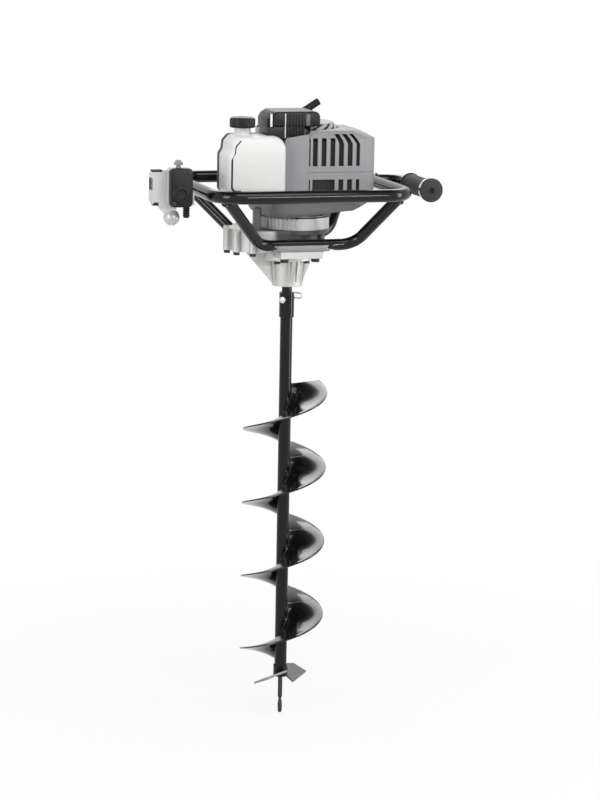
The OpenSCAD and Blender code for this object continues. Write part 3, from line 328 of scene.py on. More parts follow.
def tube_rings(path, radius, sides=20, closed=False):
    """Rings along a path of points, kept from twisting."""
    rings = []
    normal = None
    total = len(path)
    for i, point in enumerate(path):
        before = path[i - 1] if i or closed else point
        after = path[(i + 1) % total] if i < total - 1 or closed else point
        along = (after - before).normalized()
        if normal is None:
            normal = along.orthogonal().normalized()
            if abs(along.z) < 0.9:
                normal = along.cross(Vector((0, 0, 1))).normalized()
        normal = (normal - along * normal.dot(along)).normalized()
        side = along.cross(normal)
        rings.append([point + radius * (cos(2 * pi * k / sides) * normal + sin(2 * pi * k / sides) * side)
                      for k in range(sides)])
    return rings


bead_r = 1.6 * mm
bead_path = []
for i in range(int(flight_turns * 60) + 1):
    a = radians(flight_top_turn - 6 * i)
    z = flight_top - i / 60 * flight_pitch + 0.4 * mm
    bead_path.append(Vector(((tube_r + 0.3 * mm) * cos(a), (tube_r + 0.3 * mm) * sin(a), z)))
weld = new_piece("flight_weld", *loft(tube_rings(bead_path, bead_r, 8)), bit_enamel)
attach(weld, "auger")

# The cutter blades and the pilot, bare ground steel.
# The blades are cut from plate and welded to a hub, and the pilot is turned and plugged into the tube.
bare_steel = (0.46, 0.46, 0.45)
dark_steel = (0.30, 0.30, 0.30)


def ground_steel(name, dark, light, rough, stretch):
    material, shader, flow = coating(name, {"Metallic": 0.9, "IOR": 2.2})
    lines = grain(flow, 60, 4, stretch)
    stain = grain(flow, 40, 5)
    tint(flow, dark, light, 0.5 * lines + 0.5 * stain).into(shader, "Base Color")
    (rough + 0.2 * lines).into(shader, "Roughness")
    relief(flow, shader, lines, 0.04 * mm, 0.4, 0.5 * mm)
    return material


blade_steel = ground_steel("blade_steel", (0.15, 0.15, 0.152), (0.27, 0.27, 0.268), 0.42, (1, 14, 1))
turned_steel = ground_steel("turned_steel", dark_steel, bare_steel, 0.26, (1, 1, 18))
pilot_steel = ground_steel("pilot_steel", (0.025, 0.025, 0.025), (0.07, 0.07, 0.07), 0.4, (1, 1, 12))
finish_nodes(blade_steel, "cutter_blades")
cutters = shown_node["cutter_blades"]
cutters.data.materials.append(bit_enamel)
hub_r = 13.3 * mm
for face in cutters.data.polygons:
    spot = cutters.matrix_world @ face.center
    face.material_index = 1 if sqrt(spot.x * spot.x + spot.y * spot.y) < hub_r else 0


def lathe(profile, place, along, sides=48):
    """Rings of a turned shape: radius and height pairs about an axis through a place."""
    along = Vector(along).normalized()
    u = along.orthogonal().normalized()
    v = along.cross(u)
    return [[Vector(place) + along * h + r * (cos(2 * pi * k / sides) * u + sin(2 * pi * k / sides) * v)
             for k in range(sides)] for r, h in profile]


pilot_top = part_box("pilot_point")[1].z
pilot_profile = [(0.3, 0), (2.2, 0.3), (3.4, 1.8), (3.9, 6), (4, 13), (3.9, 18), (3.2, 22.5), (2.5, 25.5),
                 (2.5, 27), (3.4, 29), (4, 30), (4, 50), (4, pilot_top / mm)]
pilot_rings = lathe([(r * mm, h * mm) for r, h in pilot_profile], (0, 0, 0), (0, 0, 1), 40)
pilot = new_piece("pilot_spear", *loft(pilot_rings), pilot_steel)
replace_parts(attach(pilot, "auger"), "pilot_point")

# The coupling: the bit's sleeve over the output shaft, held by a plated pin with a domed head.
# A clip of spring wire keeps the pin from dropping out.
plated = (0.74, 0.74, 0.73)


def plating(name, colour, rough):
    material, shader, flow = coating(name, {"Metallic": 1.0})
    haze = grain(flow, 90, 4)
    tint(flow, tuple(0.8 * c for c in colour), colour, haze).into(shader, "Base Color")
    (rough + 0.14 * haze).into(shader, "Roughness")
    relief(flow, shader, haze, 0.02 * mm, 0.3, 0.4 * mm)
    return material


bright_plating = plating("bright_plating", plated, 0.12)
finish_nodes(bright_plating, "drive_pin", "pin_clip")
finish_nodes(turned_steel, "output_gear", "layshaft", "lay_gear", "clutch_drum",
             "shaft_bearings", "output_bearings", "clutch_shoes", "crankshaft", "oil_plug")


pin_turn = radians(227)
pin_way = Vector((cos(pin_turn), sin(pin_turn), 0))
sleeve_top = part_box("coupling_sleeve")[1].z
pin_z = sleeve_top - 12 * mm
head_out = 13.9 * mm
head_at = Vector((0, 0, pin_z)) + pin_way * head_out
head_profile = [(5.4, 0), (5.4, 2.2), (5.0, 3.0), (4.0, 3.7), (2.4, 4.2), (0.3, 4.4)]
head = new_piece("pin_head", *loft(lathe([(r * mm, h * mm) for r, h in head_profile], head_at, pin_way)),
                 bright_plating)
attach(head, "auger")

# The gearbox: bare aluminium castings bolted together, with ribs down the nose.
# The metal is pale grey with a sandy skin, with painted shade darkening it where the clutch housing overhangs.
pale_alloy = (0.65, 0.65, 0.635)
shaded_alloy = (0.43, 0.43, 0.42)
painted_shade_grey = (0.08, 0.08, 0.082)


def casting(name, dark, light, rough, metal, painted_shade_at=None):
    """A sand-cast metal, with painted shade darkening it within a distance of a place if one is given."""
    material, shader, flow = coating(name, {"Metallic": metal})
    cloud = grain(flow, 18, 6)
    sand = grain(flow, 900, 2)
    colour = tint(flow, dark, light, 0.6 * cloud + 0.2 * sand + 0.5 * rubbed(flow, 3))
    # Painted shade: the colour goes dark near the place, standing for the shade under the clutch housing.
    if painted_shade_at:
        place, near, far = painted_shade_at
        away = flow.node("VectorMath", {"operation": "DISTANCE"},
                         {0: flow.node("TexCoord", output="Object"), 1: place}, output="Value")
        unshaded = flow.node("MapRange", {"interpolation_type": "SMOOTHSTEP"},
                          {"Value": away, "From Min": near, "From Max": far})
        colour = flow.node("Mix", {"data_type": "RGBA"}, {0: unshaded, 6: (*painted_shade_grey, 1), 7: colour}, output=2)
    colour.into(shader, "Base Color")
    (rough + 0.2 * cloud).into(shader, "Roughness")
    relief(flow, shader, sand, 0.12 * mm, 0.35, 1.1 * mm)
    return material


bare_casting = casting("bare_casting", shaded_alloy, pale_alloy, 0.36, 0.55)
finish_nodes(bare_casting, "gearbox_nose", "clutch_housing", "crankcase",
             "cylinder", "carburettor", "flywheel", "piston")


def slab(outline, low, high, way="z"):
    """A closed outline pulled along one axis, as two rings."""
    order = {"x": lambda a, b, c: Vector((c, a, b)), "y": lambda a, b, c: Vector((a, c, b)),
             "z": lambda a, b, c: Vector((a, b, c))}[way]
    return [[order(a, b, low) for a, b in outline], [order(a, b, high) for a, b in outline]]


def merged(parts):
    """One vertex and face list from several."""
    vertices, faces = [], []
    for part_vertices, part_faces in parts:
        base = len(vertices)
        vertices += part_vertices
        faces += [tuple(base + i for i in face) for face in part_faces]
    return vertices, faces


def radial_rib(centre, turn, profile, half):
    """A rib standing out from an upright axis: a profile of radius and height pairs, thickened both ways."""
    a = radians(turn)
    out, aside = Vector((cos(a), sin(a), 0)), Vector((-sin(a), cos(a), 0))
    return loft([[centre + out * r + aside * s + Vector((0, 0, z)) for r, z in profile]
                 for s in (-half, half)])


nose_low, nose_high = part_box("gearbox_nose")
flange_z = nose_high.z - 18 * mm
rib_half = 2.2 * mm
rib_foot = nose_low.z + 8 * mm
nose_rib = [(25 * mm, rib_foot), (28.2 * mm, rib_foot), (33 * mm, flange_z), (25 * mm, flange_z)]
ribs = [radial_rib(Vector(), turn, nose_rib, rib_half) for turn in range(22, 360, 45)]
piece = new_piece("nose_ribs", *merged(ribs), bare_casting)
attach(piece, "head")

# The gearbox's blackened bolts, which go in from below, and the clutch housing with its upright cast ribs.
# Round the clutch, the case and its cover are darkened with painted shade.
bolt_black = enamel("bolt_black", (0.012, 0.012, 0.012), (0.03, 0.03, 0.03), 0.4)
finish_nodes(bolt_black, "housing_bolts", "stay_bolts", "clutch_screws")
drum_low, drum_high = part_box("clutch_housing")


def axis_of(box, z=0):
    """Where the upright axis of a box is, at a height."""
    low, high = box
    return Vector(((low.x + high.x) / 2, (low.y + high.y) / 2, z))


crank = axis_of((drum_low, drum_high))
clutch_r = (drum_high.y - drum_low.y) / 2
# The case and its cover get painted shade round the clutch.
painted_shade_casting = casting("painted_shade_casting", shaded_alloy, pale_alloy, 0.38, 0.5,
                       ((crank.x, crank.y, drum_low.z), clutch_r + 14 * mm, clutch_r + 24 * mm))
finish_nodes(painted_shade_casting, "gearbox_cover", "gearbox_body")
clutch_rib_half = 1.5 * mm
rib_in, rib_out = clutch_r - 1 * mm, clutch_r + 1.8 * mm
clutch_rib = [(rib_in, drum_low.z + 1 * mm), (rib_out, drum_low.z + 2 * mm), (rib_out, drum_high.z - 5 * mm),
              (rib_in, drum_high.z - 3 * mm)]
ribs = [radial_rib(crank, turn, clutch_rib, clutch_rib_half) for turn in range(96, 264, 8)]
piece = new_piece("clutch_ribs", *merged(ribs), bare_casting)
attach(piece, "head")

# The fan housing, a dark grey moulded bowl under the engine's deck with a rolled lower edge.
# Its foot rises towards the right, and a post and a black gasket stand between it and the gearbox.
bowl_grey = (0.092, 0.092, 0.095)
bowl_light = (0.16, 0.16, 0.163)


def moulding_finish(name, dark, light, rough, depth=0.06, index=1.48):
    material, shader, flow = coating(name, {"IOR": index})
    cloud = grain(flow, 14, 5)
    spark = grain(flow, 1500, 2)
    worn = rubbed(flow, 3)
    tint(flow, dark, light, 0.5 * cloud + 0.3 * spark + 0.4 * worn).into(shader, "Base Color")
    (rough + 0.16 * cloud - 0.1 * worn).into(shader, "Roughness")
    relief(flow, shader, spark, depth * mm, 0.4, 1.0 * mm)
    return material


bowl_finish = moulding_finish("bowl_finish", bowl_grey, bowl_light, 0.36)
black_moulding = moulding_finish("black_moulding", (0.003, 0.003, 0.0035), (0.008, 0.008, 0.0085), 0.3, 0.04,
                                 1.33)


def round_ring(x0, x1, y0, y1, radii, z, steps=8):
    """A rectangle with rounded corners: radii for the front left, front right, back right and back left."""
    corners = [(x0, y0, 1, 1, pi), (x1, y0, -1, 1, 1.5 * pi), (x1, y1, -1, -1, 0), (x0, y1, 1, -1, 0.5 * pi)]
    ring = []
    for (x, y, sx, sy, start), r in zip(corners, radii):
        for k in range(steps + 1):
            t = start + pi / 2 * k / steps
            ring.append(Vector((x + sx * r + r * cos(t), y + sy * r + r * sin(t), z)))
    return ring


def box_rings(low, high, corner, top_edge, foot_edge, steps=4):
    """Rings of a moulded box with rounded upright corners and rolled top and foot edges."""
    rows = []
    for k in range(steps + 1):
        t = pi / 2 * k / steps
        rows.append((foot_edge * (1 - sin(t)), low.z + foot_edge * (1 - cos(t))))
    for k in range(steps + 1):
        t = pi / 2 * k / steps
        rows.append((top_edge * (1 - cos(t)), high.z - top_edge * (1 - sin(t))))
    rings = []
    for inset, z in rows:
        r = max(corner - inset, 0.2 * mm)
        rings.append(round_ring(low.x + inset, high.x - inset, low.y + inset, high.y - inset, (r,) * 4, z))
    return rings


def block(low, high, *edges):
    """A moulded box as vertices and faces."""
    return loft(box_rings(low, high, *edges))


fan_low, fan_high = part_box("fan_housing")
rise_from, rise_slope = 56 * mm, 0.42
bowl_left = fan_low.x + 16.5 * mm
bowl_rings = box_rings(fan_low, fan_high, 46 * mm, 1.5 * mm, 14 * mm, 8)
for ring in bowl_rings:
    for p in ring:
        p.z = min(max(p.z, fan_low.z + (p.x - rise_from) * rise_slope), fan_high.z)
        p.x = max(p.x, bowl_left)
bowl = new_piece("fan_bowl", *loft(bowl_rings), bowl_finish)
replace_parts(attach(bowl, "head"), "fan_housing")

post_low = Vector((-75 * mm, -46 * mm, drum_low.z - 0.5 * mm))
post_high = Vector((-62 * mm, -33 * mm, fan_low.z + 16 * mm))
piece = new_piece("bowl_post", *block(post_low, post_high, 3 * mm, 1 * mm, 1 * mm), bowl_finish)
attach(piece, "head")
joint_r = clutch_r + 2.4 * mm
joint_in = joint_r - 8 * mm
joint_profile = [(joint_in, -1 * mm), (joint_r, -1 * mm), (joint_r + 0.4 * mm, -2 * mm), (joint_r, -3.2 * mm),
                 (joint_in, -3.2 * mm)]
joint_rings = lathe(joint_profile, (crank.x, crank.y, fan_low.z), (0, 0, 1), 96)
piece = new_piece("bowl_gasket", *loft(joint_rings, ends=False), black_moulding)
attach(piece, "head")

# The exhaust and ignition: a heat-darkened muffler, a glazed plug and its rubber boot.
# They stand under the cover and show from behind, beside the filter's foam.
hot_steel = ground_steel("hot_steel", (0.03, 0.028, 0.026), (0.09, 0.08, 0.07), 0.45, (1, 1, 3))
finish_nodes(hot_steel, "muffler")
glaze = moulding_finish("glaze", (0.7, 0.69, 0.66), (0.82, 0.81, 0.78), 0.12, 0.01)
finish_nodes(glaze, "spark_plug")
finish_nodes(black_moulding, "plug_boot", "choke_lever", "tank_bracket")
foam = moulding_finish("foam", (0.03, 0.032, 0.026), (0.08, 0.082, 0.066), 0.8, 0.6)
finish_nodes(foam, "filter_element")

# The engine cover, a grey moulded shell with bevelled shoulders, two rows of cooling slots and a seam band.
# It clips down over the cylinder and the muffler and is open at the back.
cover_grey = (0.228, 0.229, 0.239)
cover_light = (0.308, 0.309, 0.319)
cover_finish = moulding_finish("cover_finish", cover_grey, cover_light, 0.42)
cover_low, cover_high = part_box("engine_cover")
cover_wall = 2.5 * mm
open_back = 1 * mm
shell_left = 4 * mm
front_round = 30 * mm
shoulder_h = 14 * mm
shoulder_right = 26 * mm
shoulder_front = 14 * mm
shoulder_left = 10 * mm


def cover_rings(wall, foot):
    """Rings of the shell's outside, or of its hollow where a wall is given."""
    x0, x1 = shell_left + wall, cover_high.x - wall
    y0, y1 = cover_low.y + wall, cover_high.y + (open_back if wall else 0)
    top = cover_high.z - wall
    corner = front_round - wall
    rows = [(0, foot), (0, top - shoulder_h), (0.06, top - shoulder_h * 0.9), (0.94, top - 0.6 * mm),
            (1, top)]
    return [round_ring(x0 + shoulder_left * s, x1 - shoulder_right * s, y0 + shoulder_front * s, y1,
                       (3 * mm, corner, 1 * mm, 1 * mm), z) for s, z in rows]


def carve(piece, *cutters):
    """Cuts other shapes out of a piece."""
    for cutter in cutters:
        cut = piece.modifiers.new("cut", "BOOLEAN")
        cut.operation = "DIFFERENCE"
        cut.solver = "EXACT"
        cut.object = cutter
        bpy.context.view_layer.objects.active = piece
        bpy.context.view_layer.update()
        bpy.ops.object.modifier_apply(modifier=cut.name)
        bpy.data.objects.remove(cutter)
    piece.data.shade_smooth()
    piece.data.set_sharp_from_angle(angle=radians(35))


def rod_rings(a, b, radius, sides=64):
    return tube_rings([Vector(a), Vector(b)], radius, sides)


dome_low, dome_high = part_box("recoil_cover")
dome_r = (dome_high.y - dome_low.y) / 2
dome_screw_r = dome_r - 5 * mm
cheek_x, cheek_y = cover_low.x, cover_low.y + 10 * mm
cheek_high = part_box("air_filter_base")[0].z
cheek_right = shell_left + 2 * mm
cheek_plan = [(cheek_right, cover_low.y + 0.5 * mm), (cheek_x, cheek_y - 2.4 * mm), (cheek_x, cheek_y),
              (cheek_right, cover_low.y + 4 * mm)]
cheek_rings = slab(cheek_plan, cover_low.z, cheek_high - 4 * mm)
cheek_rings.append([Vector((max(x, cheek_x + 3 * mm), y + 0.6 * mm,
                            cheek_high + (2 * mm if x < 0 else 9 * mm))) for x, y in cheek_plan])
cheek = new_piece("cover_cheek", *loft(cheek_rings), cover_finish)
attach(cheek, "head")
cover = new_piece("cover_shell", *loft(cover_rings(0, cover_low.z)), cover_finish)
inside = new_piece("cover_inside", *loft(cover_rings(cover_wall, cover_low.z - 1 * mm)), cover_finish)


def crank_bore(name, low, high, radius):
    """A round cutter about the crank's axis."""
    return new_piece(name, *loft(rod_rings((crank.x, 0, low), (crank.x, 0, high), radius)), cover_finish)


case_bore_r = 41.5 * mm
dome_bore_r = dome_r + 1.5 * mm
case_round = crank_bore("case_round", cover_low.z - 2 * mm, cover_high.z + 2 * mm, case_bore_r)
dome_round = crank_bore("dome_round", dome_low.z - 7.5 * mm, cover_high.z + 20 * mm, dome_bore_r)
slot_w, thin_slot_w, last_slot_w = 9 * mm, 2.5 * mm, 6.5 * mm
slot_step = 15.7 * mm
thin_slot_shift = 9.2 * mm
slot_front = cover_low.y - 5 * mm
slot_back, last_slot_back = cover_low.y + 18 * mm, cover_low.y + 26 * mm
panel_back = cover_low.y + 8 * mm
bent_drop, crest = 10 * mm, cover_high.z - 5.5 * mm
slot_left = shell_left + 9 * mm
upper_slot = (cover_low.z + 49 * mm, cover_high.z - 12 * mm)
lower_slot = (cover_low.z + 4 * mm, cover_low.z + 26 * mm)
slots = []
for k in range(-1, 6):
    x0 = slot_left + k * slot_step + (thin_slot_shift if k < 0 else 0)
    x1 = x0 + (thin_slot_w if k < 0 else last_slot_w if k == 5 else slot_w)
    back = last_slot_back if k == 5 else slot_back
    for low, high in (upper_slot, lower_slot):
        if low == lower_slot[0] and 0 <= k < 3:
            continue
        outline = [(x0, low), (x1, low), (x1, high), (x0, high)]
        if low == upper_slot[0] and k > 2:
            bend = (k - 1) * 2.2 * mm + 2.5 * mm
            bent_z = high - bent_drop
            outline = [(x0, low), (x1, low), (x1, bent_z), (x1 - bend, crest), (x0 - bend, crest),
                       (x0, bent_z)]
        slots.append(loft(slab(outline, slot_front, back, "y")))
x0, x1 = slot_left, slot_left + 2 * slot_step + slot_w
slots.append(loft(slab([(x0, lower_slot[0]), (x1, lower_slot[0]), (x1, lower_slot[1]), (x0, lower_slot[1])],
                       slot_front, panel_back, "y")))
slot_cutter = new_piece("slot_cutter", *merged(slots), cover_finish)
seam_z = cover_low.z + 38 * mm
seam_outer = loft([round_ring(shell_left - 1 * mm, cover_high.x + 1 * mm, cover_low.y - 1 * mm,
                              cover_high.y + 1 * mm, (4 * mm, front_round, 1 * mm, 1 * mm), z)
                   for z in (seam_z, seam_z + 0.9 * mm)])
seam_inner = round_ring(shell_left + 0.8 * mm, cover_high.x - 0.8 * mm, cover_low.y + 0.8 * mm,
                        cover_high.y + 5 * mm, (4 * mm, front_round - 0.8 * mm, 1 * mm, 1 * mm), 0)
seam = new_piece("seam", *seam_outer, cover_finish)
seam_core = new_piece("seam_core", *loft([[p + Vector((0, 0, z)) for p in seam_inner]
                                          for z in (seam_z - 5 * mm, seam_z + 5 * mm)]), cover_finish)
carve(seam, seam_core)
carve(cover, inside, case_round, dome_round, slot_cutter, seam)
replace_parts(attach(cover, "head"), "engine_cover")
# Painted shade: a near-black matt liner stands behind the cover's slots and the dome's louvres so they show
# dark inside.
painted_shade_liner = moulding_finish("painted_shade_liner", (0.004, 0.004, 0.004), (0.009, 0.009, 0.009), 0.7)
liner_y = cover_low.y + 4.5 * mm
liner_top = cover_high.z - 4.5 * mm
liner_line = [(liner_y, cover_low.z + 1 * mm), (liner_y, liner_top - shoulder_h),
              (liner_y + shoulder_front, liner_top), (liner_y + shoulder_front + 5 * mm, liner_top)]
liner_outline = liner_line + [(y + 0.8 * mm, z - 0.8 * mm) for y, z in reversed(liner_line)]
liner_rings = slab(liner_outline, shell_left + 2.7 * mm, cover_high.x - 27 * mm, "x")
liner = new_piece("cover_painted_shade", *loft(liner_rings), painted_shade_liner)
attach(liner, "head")

# The recoil starter: a moulded dome on the crankcase, screwed at its rim, with slanting louvres at its edge.
# A near-black liner behind them is painted shade inside the dome, and a T handle with a ribbed, slanting bar
# stands in a hole in the dome.
dome_finish = moulding_finish("dome_finish", (0.36, 0.362, 0.366), (0.46, 0.462, 0.466), 0.45)
dome_base = Vector((crank.x, crank.y, dome_low.z))
dome_profile = [(72, 0), (72, 13), (71.5, 14.5), (64, 24.5), (62, 26), (58, 26.5), (0.3, 26.5), (0.3, 24),
                (50, 24), (50, 0)]


def dome_ring(profile, sides):
    """A ring of revolution about the dome's axis, from a closed profile in millimetres."""
    return loft(lathe([(r * mm, h * mm) for r, h in profile], dome_base, (0, 0, 1), sides), loop=True)


dome = new_piece("starter_dome", *dome_ring(dome_profile, 120), dome_finish)
louvre_first, louvre_last, louvre_step = 74, 394, 20
louvre_half, louvre_lean = 5.4, 22
louvre_foot, louvre_head = 14.5, 24.5
louvre_in, louvre_out = 51, 78
louvres = []
for turn in range(louvre_first, louvre_last, louvre_step):
    section = []
    for middle, h in ((turn, louvre_foot), (turn + louvre_lean, louvre_head)):
        sides = [(louvre_in, -louvre_half), (louvre_out, -louvre_half), (louvre_out, louvre_half),
                 (louvre_in, louvre_half)]
        section.append([dome_base + Vector((r * mm * cos(radians(middle + side)),
                                            r * mm * sin(radians(middle + side)), h * mm))
                        for r, side in sides])
    louvres.append(loft(section))
louvre_cutter = new_piece("louvre_cutter", *merged(louvres), dome_finish)
screw_wells = []
well_r = 4.3 * mm
well_foot, well_head = Vector((0, 0, 6 * mm)), Vector((0, 0, 30 * mm))
for turn in range(0, 360, 90):
    spot = dome_base + Vector((cos(radians(turn)), sin(radians(turn)), 0)) * dome_screw_r
    screw_wells.append(loft(rod_rings(spot + well_foot, spot + well_head, well_r, 32)))
screw_cutter = new_piece("screw_cutter", *merged(screw_wells), dome_finish)
pull_low, pull_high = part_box("recoil_handle")
guide_spot = axis_of((pull_low, pull_high), dome_low.z + 2 * mm)
guide_rings = rod_rings(guide_spot, guide_spot + Vector((0, 0, 40 * mm)), 6 * mm)
guide_cutter = new_piece("guide_cutter", *loft(guide_rings), dome_finish)
filter_low, filter_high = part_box("air_filter_cover")
lid_margin = Vector((1, 1, 0.3)) * mm
lid_cutter = new_piece("lid_cutter", *block(filter_low - lid_margin, filter_high + lid_margin, 2 * mm, 1 * mm,
                                            0.1 * mm), dome_finish)
carve(dome, louvre_cutter, screw_cutter, guide_cutter, lid_cutter)
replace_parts(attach(dome, "head"), "recoil_cover")
finish_nodes(bright_plating, "recoil_screws")
finish_nodes(bolt_black, "throttle_screws")
# Painted shade: a near-black ring under the louvres so they show dark.
vent_profile = [(55, 6), (55, 22), (63.2, 24), (70.8, 13.9), (70.8, 6)]
piece = new_piece("vent_painted_shade", *dome_ring(vent_profile, 96), painted_shade_liner)
carve(piece, new_piece("screw_cutter", *merged(screw_wells), painted_shade_liner))
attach(piece, "head")
bar_tilt = radians(32)
bar_r = 6.6 * mm
bar_half = 19 * mm
groove_r = bar_r - 0.5 * mm
bar_way = Vector((cos(bar_tilt), 0, sin(bar_tilt)))
bar_mid = axis_of((pull_low, pull_high), pull_high.z - bar_half * sin(bar_tilt) - bar_r * cos(bar_tilt))
profile = [(0.2 * mm, -bar_half), (bar_r * 0.75, -bar_half + 0.3 * mm), (bar_r * 0.97, -bar_half + 1.5 * mm)]
for k in range(9):
    h = -bar_half + (3 + k * 4) * mm
    profile += [(bar_r, h), (bar_r, h + 2.4 * mm), (groove_r, h + 2.8 * mm), (groove_r, h + 3.6 * mm)]
profile += [(bar_r * 0.97, bar_half - 0.9 * mm), (bar_r * 0.75, bar_half - 0.3 * mm), (0.2 * mm, bar_half)]
profile = [(r, h) for r, h in profile if abs(h) <= bar_half]
stem_low = pull_low.z
stem_profile = [(5.4 * mm, stem_low), (5.6 * mm, stem_low + 2 * mm), (5.6 * mm, bar_mid.z - 9 * mm),
                (4.2 * mm, bar_mid.z - 4 * mm), (4.2 * mm, bar_mid.z)]
stem = lathe(stem_profile, (bar_mid.x, bar_mid.y, 0), (0, 0, 1), 32)
handle = new_piece("starter_handle", *merged([loft(lathe(profile, bar_mid, bar_way, 40)), loft(stem)]),
                   black_moulding)
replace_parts(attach(handle, "starter_handle"), "recoil_handle")

# The air filter, a black box of mouldings: a base, a lid with upright ribs on its front, and a chamfered end.
# Two pale strips on its upright edges are painted highlights, and a grey latch at the right of the ribs holds
# the lid.
base_low, base_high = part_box("air_filter_base")


def bent_path(points, radii, closed=False, steps=12):
    """A path through corner points with the corners rounded, all to one radius or each to its own."""
    path = []
    total = len(points)
    for i, corner in enumerate(points):
        if not closed and i in (0, total - 1):
            path.append(corner.copy())
            continue
        radius = radii[i] if isinstance(radii, tuple) else radii
        a = (points[i - 1] - corner).normalized()
        b = (points[(i + 1) % total] - corner).normalized()
        half = a.angle(b) / 2
        centre = corner + (a + b).normalized() * radius / sin(half)
        start = (corner + a * radius / tan(half) - centre).normalized()
        swing = pi - 2 * half
        path += [centre + radius * (cos(swing * k / steps) * start - sin(swing * k / steps) * a)
                 for k in range(steps + 1)]
    return path


def pushed(corners, radii, front, back, edge, steps=3):
    """Rings of an upright outline pushed from front to back, with a rolled edge at both ends."""
    outline = bent_path([Vector((x, 0, z)) for x, z in corners], radii, True, 8)
    xs, zs = [p.x for p in outline], [p.z for p in outline]
    middle = Vector(((min(xs) + max(xs)) / 2, 0, (min(zs) + max(zs)) / 2))
    half_x, half_z = (max(xs) - min(xs)) / 2, (max(zs) - min(zs)) / 2
    rows = [(edge * (1 - sin(pi / 2 * k / steps)), front + edge * (1 - cos(pi / 2 * k / steps)))
            for k in range(steps + 1)]
    rows += [(inset, front + back - y) for inset, y in reversed(rows)]
    return [[Vector((middle.x + (p.x - middle.x) * (1 - inset / half_x), y,
                     middle.z + (p.z - middle.z) * (1 - inset / half_z))) for p in outline]
            for inset, y in rows]


lid_left = filter_low.x + 22 * mm
lid = new_piece("filter_lid", *loft(pushed(
    [(lid_left, filter_low.z), (filter_high.x, filter_low.z), (filter_high.x, filter_high.z),
     (lid_left, filter_high.z)],
    (1 * mm, 1 * mm, 11 * mm, 9 * mm), filter_low.y, filter_high.y, 3 * mm)), black_moulding)
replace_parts(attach(lid, "head"), "air_filter_cover")
end_left = filter_low.x + 13 * mm
end_right, end_top = lid_left + 1 * mm, filter_high.z - 3 * mm
end = new_piece("filter_end", *loft(pushed(
    [(end_left, filter_low.z), (end_right, filter_low.z), (end_right, end_top), (end_left + 8 * mm, end_top),
     (end_left, end_top - 10 * mm)],
    (1 * mm, 1 * mm, 1 * mm, 2 * mm, 2 * mm), filter_low.y + 3 * mm, filter_high.y - 3 * mm, 6 * mm)),
    black_moulding)
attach(end, "head")
base_right = shell_left - 6 * mm
base = new_piece("filter_base", *loft(pushed(
    [(end_left, base_low.z), (base_right, base_low.z), (base_right, base_high.z), (end_left, base_high.z)],
    (3 * mm, 1 * mm, 0.5 * mm, 0.5 * mm), filter_low.y + 0.5 * mm, base_high.y, 1 * mm)), black_moulding)
carve(base, crank_bore("base_round", base_low.z - 5 * mm, base_high.z + 5 * mm, dome_bore_r))
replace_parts(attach(base, "head"), "air_filter_base")
ribs = []
first_rib, filter_rib_step, filter_rib_w = 45.6 * mm, 5.6 * mm, 2.8 * mm
for k in range(6):
    x = filter_low.x + first_rib + filter_rib_step * k
    low = Vector((x, filter_low.y - 1.4 * mm, base_low.z + 3 * mm))
    high = Vector((x + filter_rib_w, filter_low.y + 3 * mm, filter_high.z - 4 * mm))
    ribs.append(block(low, high, 1 * mm, 0.8 * mm, 0.8 * mm, 2))
piece = new_piece("filter_ribs", *merged(ribs), black_moulding)
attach(piece, "head")
# Painted highlights: two pale strips where the box's upright edges catch the light.
highlight_strip_x = filter_low.x + 42.2 * mm
highlight_strips = []
for x, width, front, top in ((highlight_strip_x, 1.5 * mm, -0.8 * mm, 3 * mm),
                             (lid_left - 5 * mm, 3.6 * mm, 2.2 * mm, 4 * mm)):
    strip_low = Vector((x, filter_low.y + front, base_low.z + 2 * mm))
    strip_high = Vector((x + width, filter_low.y + 4 * mm, filter_high.z - top))
    highlight_strips.append(block(strip_low, strip_high, 0.4 * mm, 0.4 * mm, 0.4 * mm, 2))
highlight_strip = new_piece("filter_painted_highlights", *merged(highlight_strips), glaze)
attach(highlight_strip, "head")
latch_low = Vector((filter_low.x + 80 * mm, filter_low.y - 0.8 * mm, filter_low.z + 1.5 * mm))
latch_high = Vector((filter_low.x + 87 * mm, filter_low.y + 4 * mm, filter_high.z - 5 * mm))
piece = new_piece("filter_latch", *block(latch_low, latch_high, 0.8 * mm, 0.6 * mm, 0.6 * mm, 2), bowl_finish)
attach(piece, "head")

# The fuel tank, blow-moulded in white natural plastic, with a broad rounding at its upper right, a waist at
# its left and a recess for the filter. A dark rubber band runs round its back, another shows at its left front
# edge, and a ribbed black cap screws on its neck.
milk = (0.63, 0.63, 0.62)
milk_light = (0.75, 0.75, 0.74)
tank_material, tank_shader, flow = coating("natural_plastic", {
    "Subsurface Weight": 0.12, "Subsurface Radius": (0.012, 0.012, 0.011), "IOR": 1.5, "Coat Weight": 0.1})
cloud = grain(flow, 9, 5)
tint(flow, milk, milk_light, cloud).into(tank_shader, "Base Color")
(0.3 + 0.12 * cloud).into(tank_shader, "Roughness")
relief(flow, tank_shader, grain(flow, 240, 3), 0.08 * mm, 0.3, 2 * mm)
tank_low, tank_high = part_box("fuel_tank")
neck_top = tank_high.z
shoulder_z = neck_top - 30 * mm
cap_low, cap_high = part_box("fuel_cap")
cap_mid = axis_of((cap_low, cap_high))
tank_top = shoulder_z + 11 * mm
tank_wider = 3.5 * mm
tank_edge = 12 * mm
tank_radii = (8 * mm, 8 * mm, 24 * mm, 8 * mm, 8 * mm, 10 * mm, 10 * mm)


def tank_corners(swell):
    """The tank's outline from the front, grown all round by a swell."""
    left, right = tank_low.x - swell, tank_high.x + tank_wider + swell
    foot, top = tank_low.z - swell, tank_top + swell
    return [(left, foot), (right, foot), (right, top), (left + 17 * mm, top), (left + 7 * mm, top - 11 * mm),
            (left + 5.5 * mm, top - 25 * mm), (left, top - 34 * mm)]


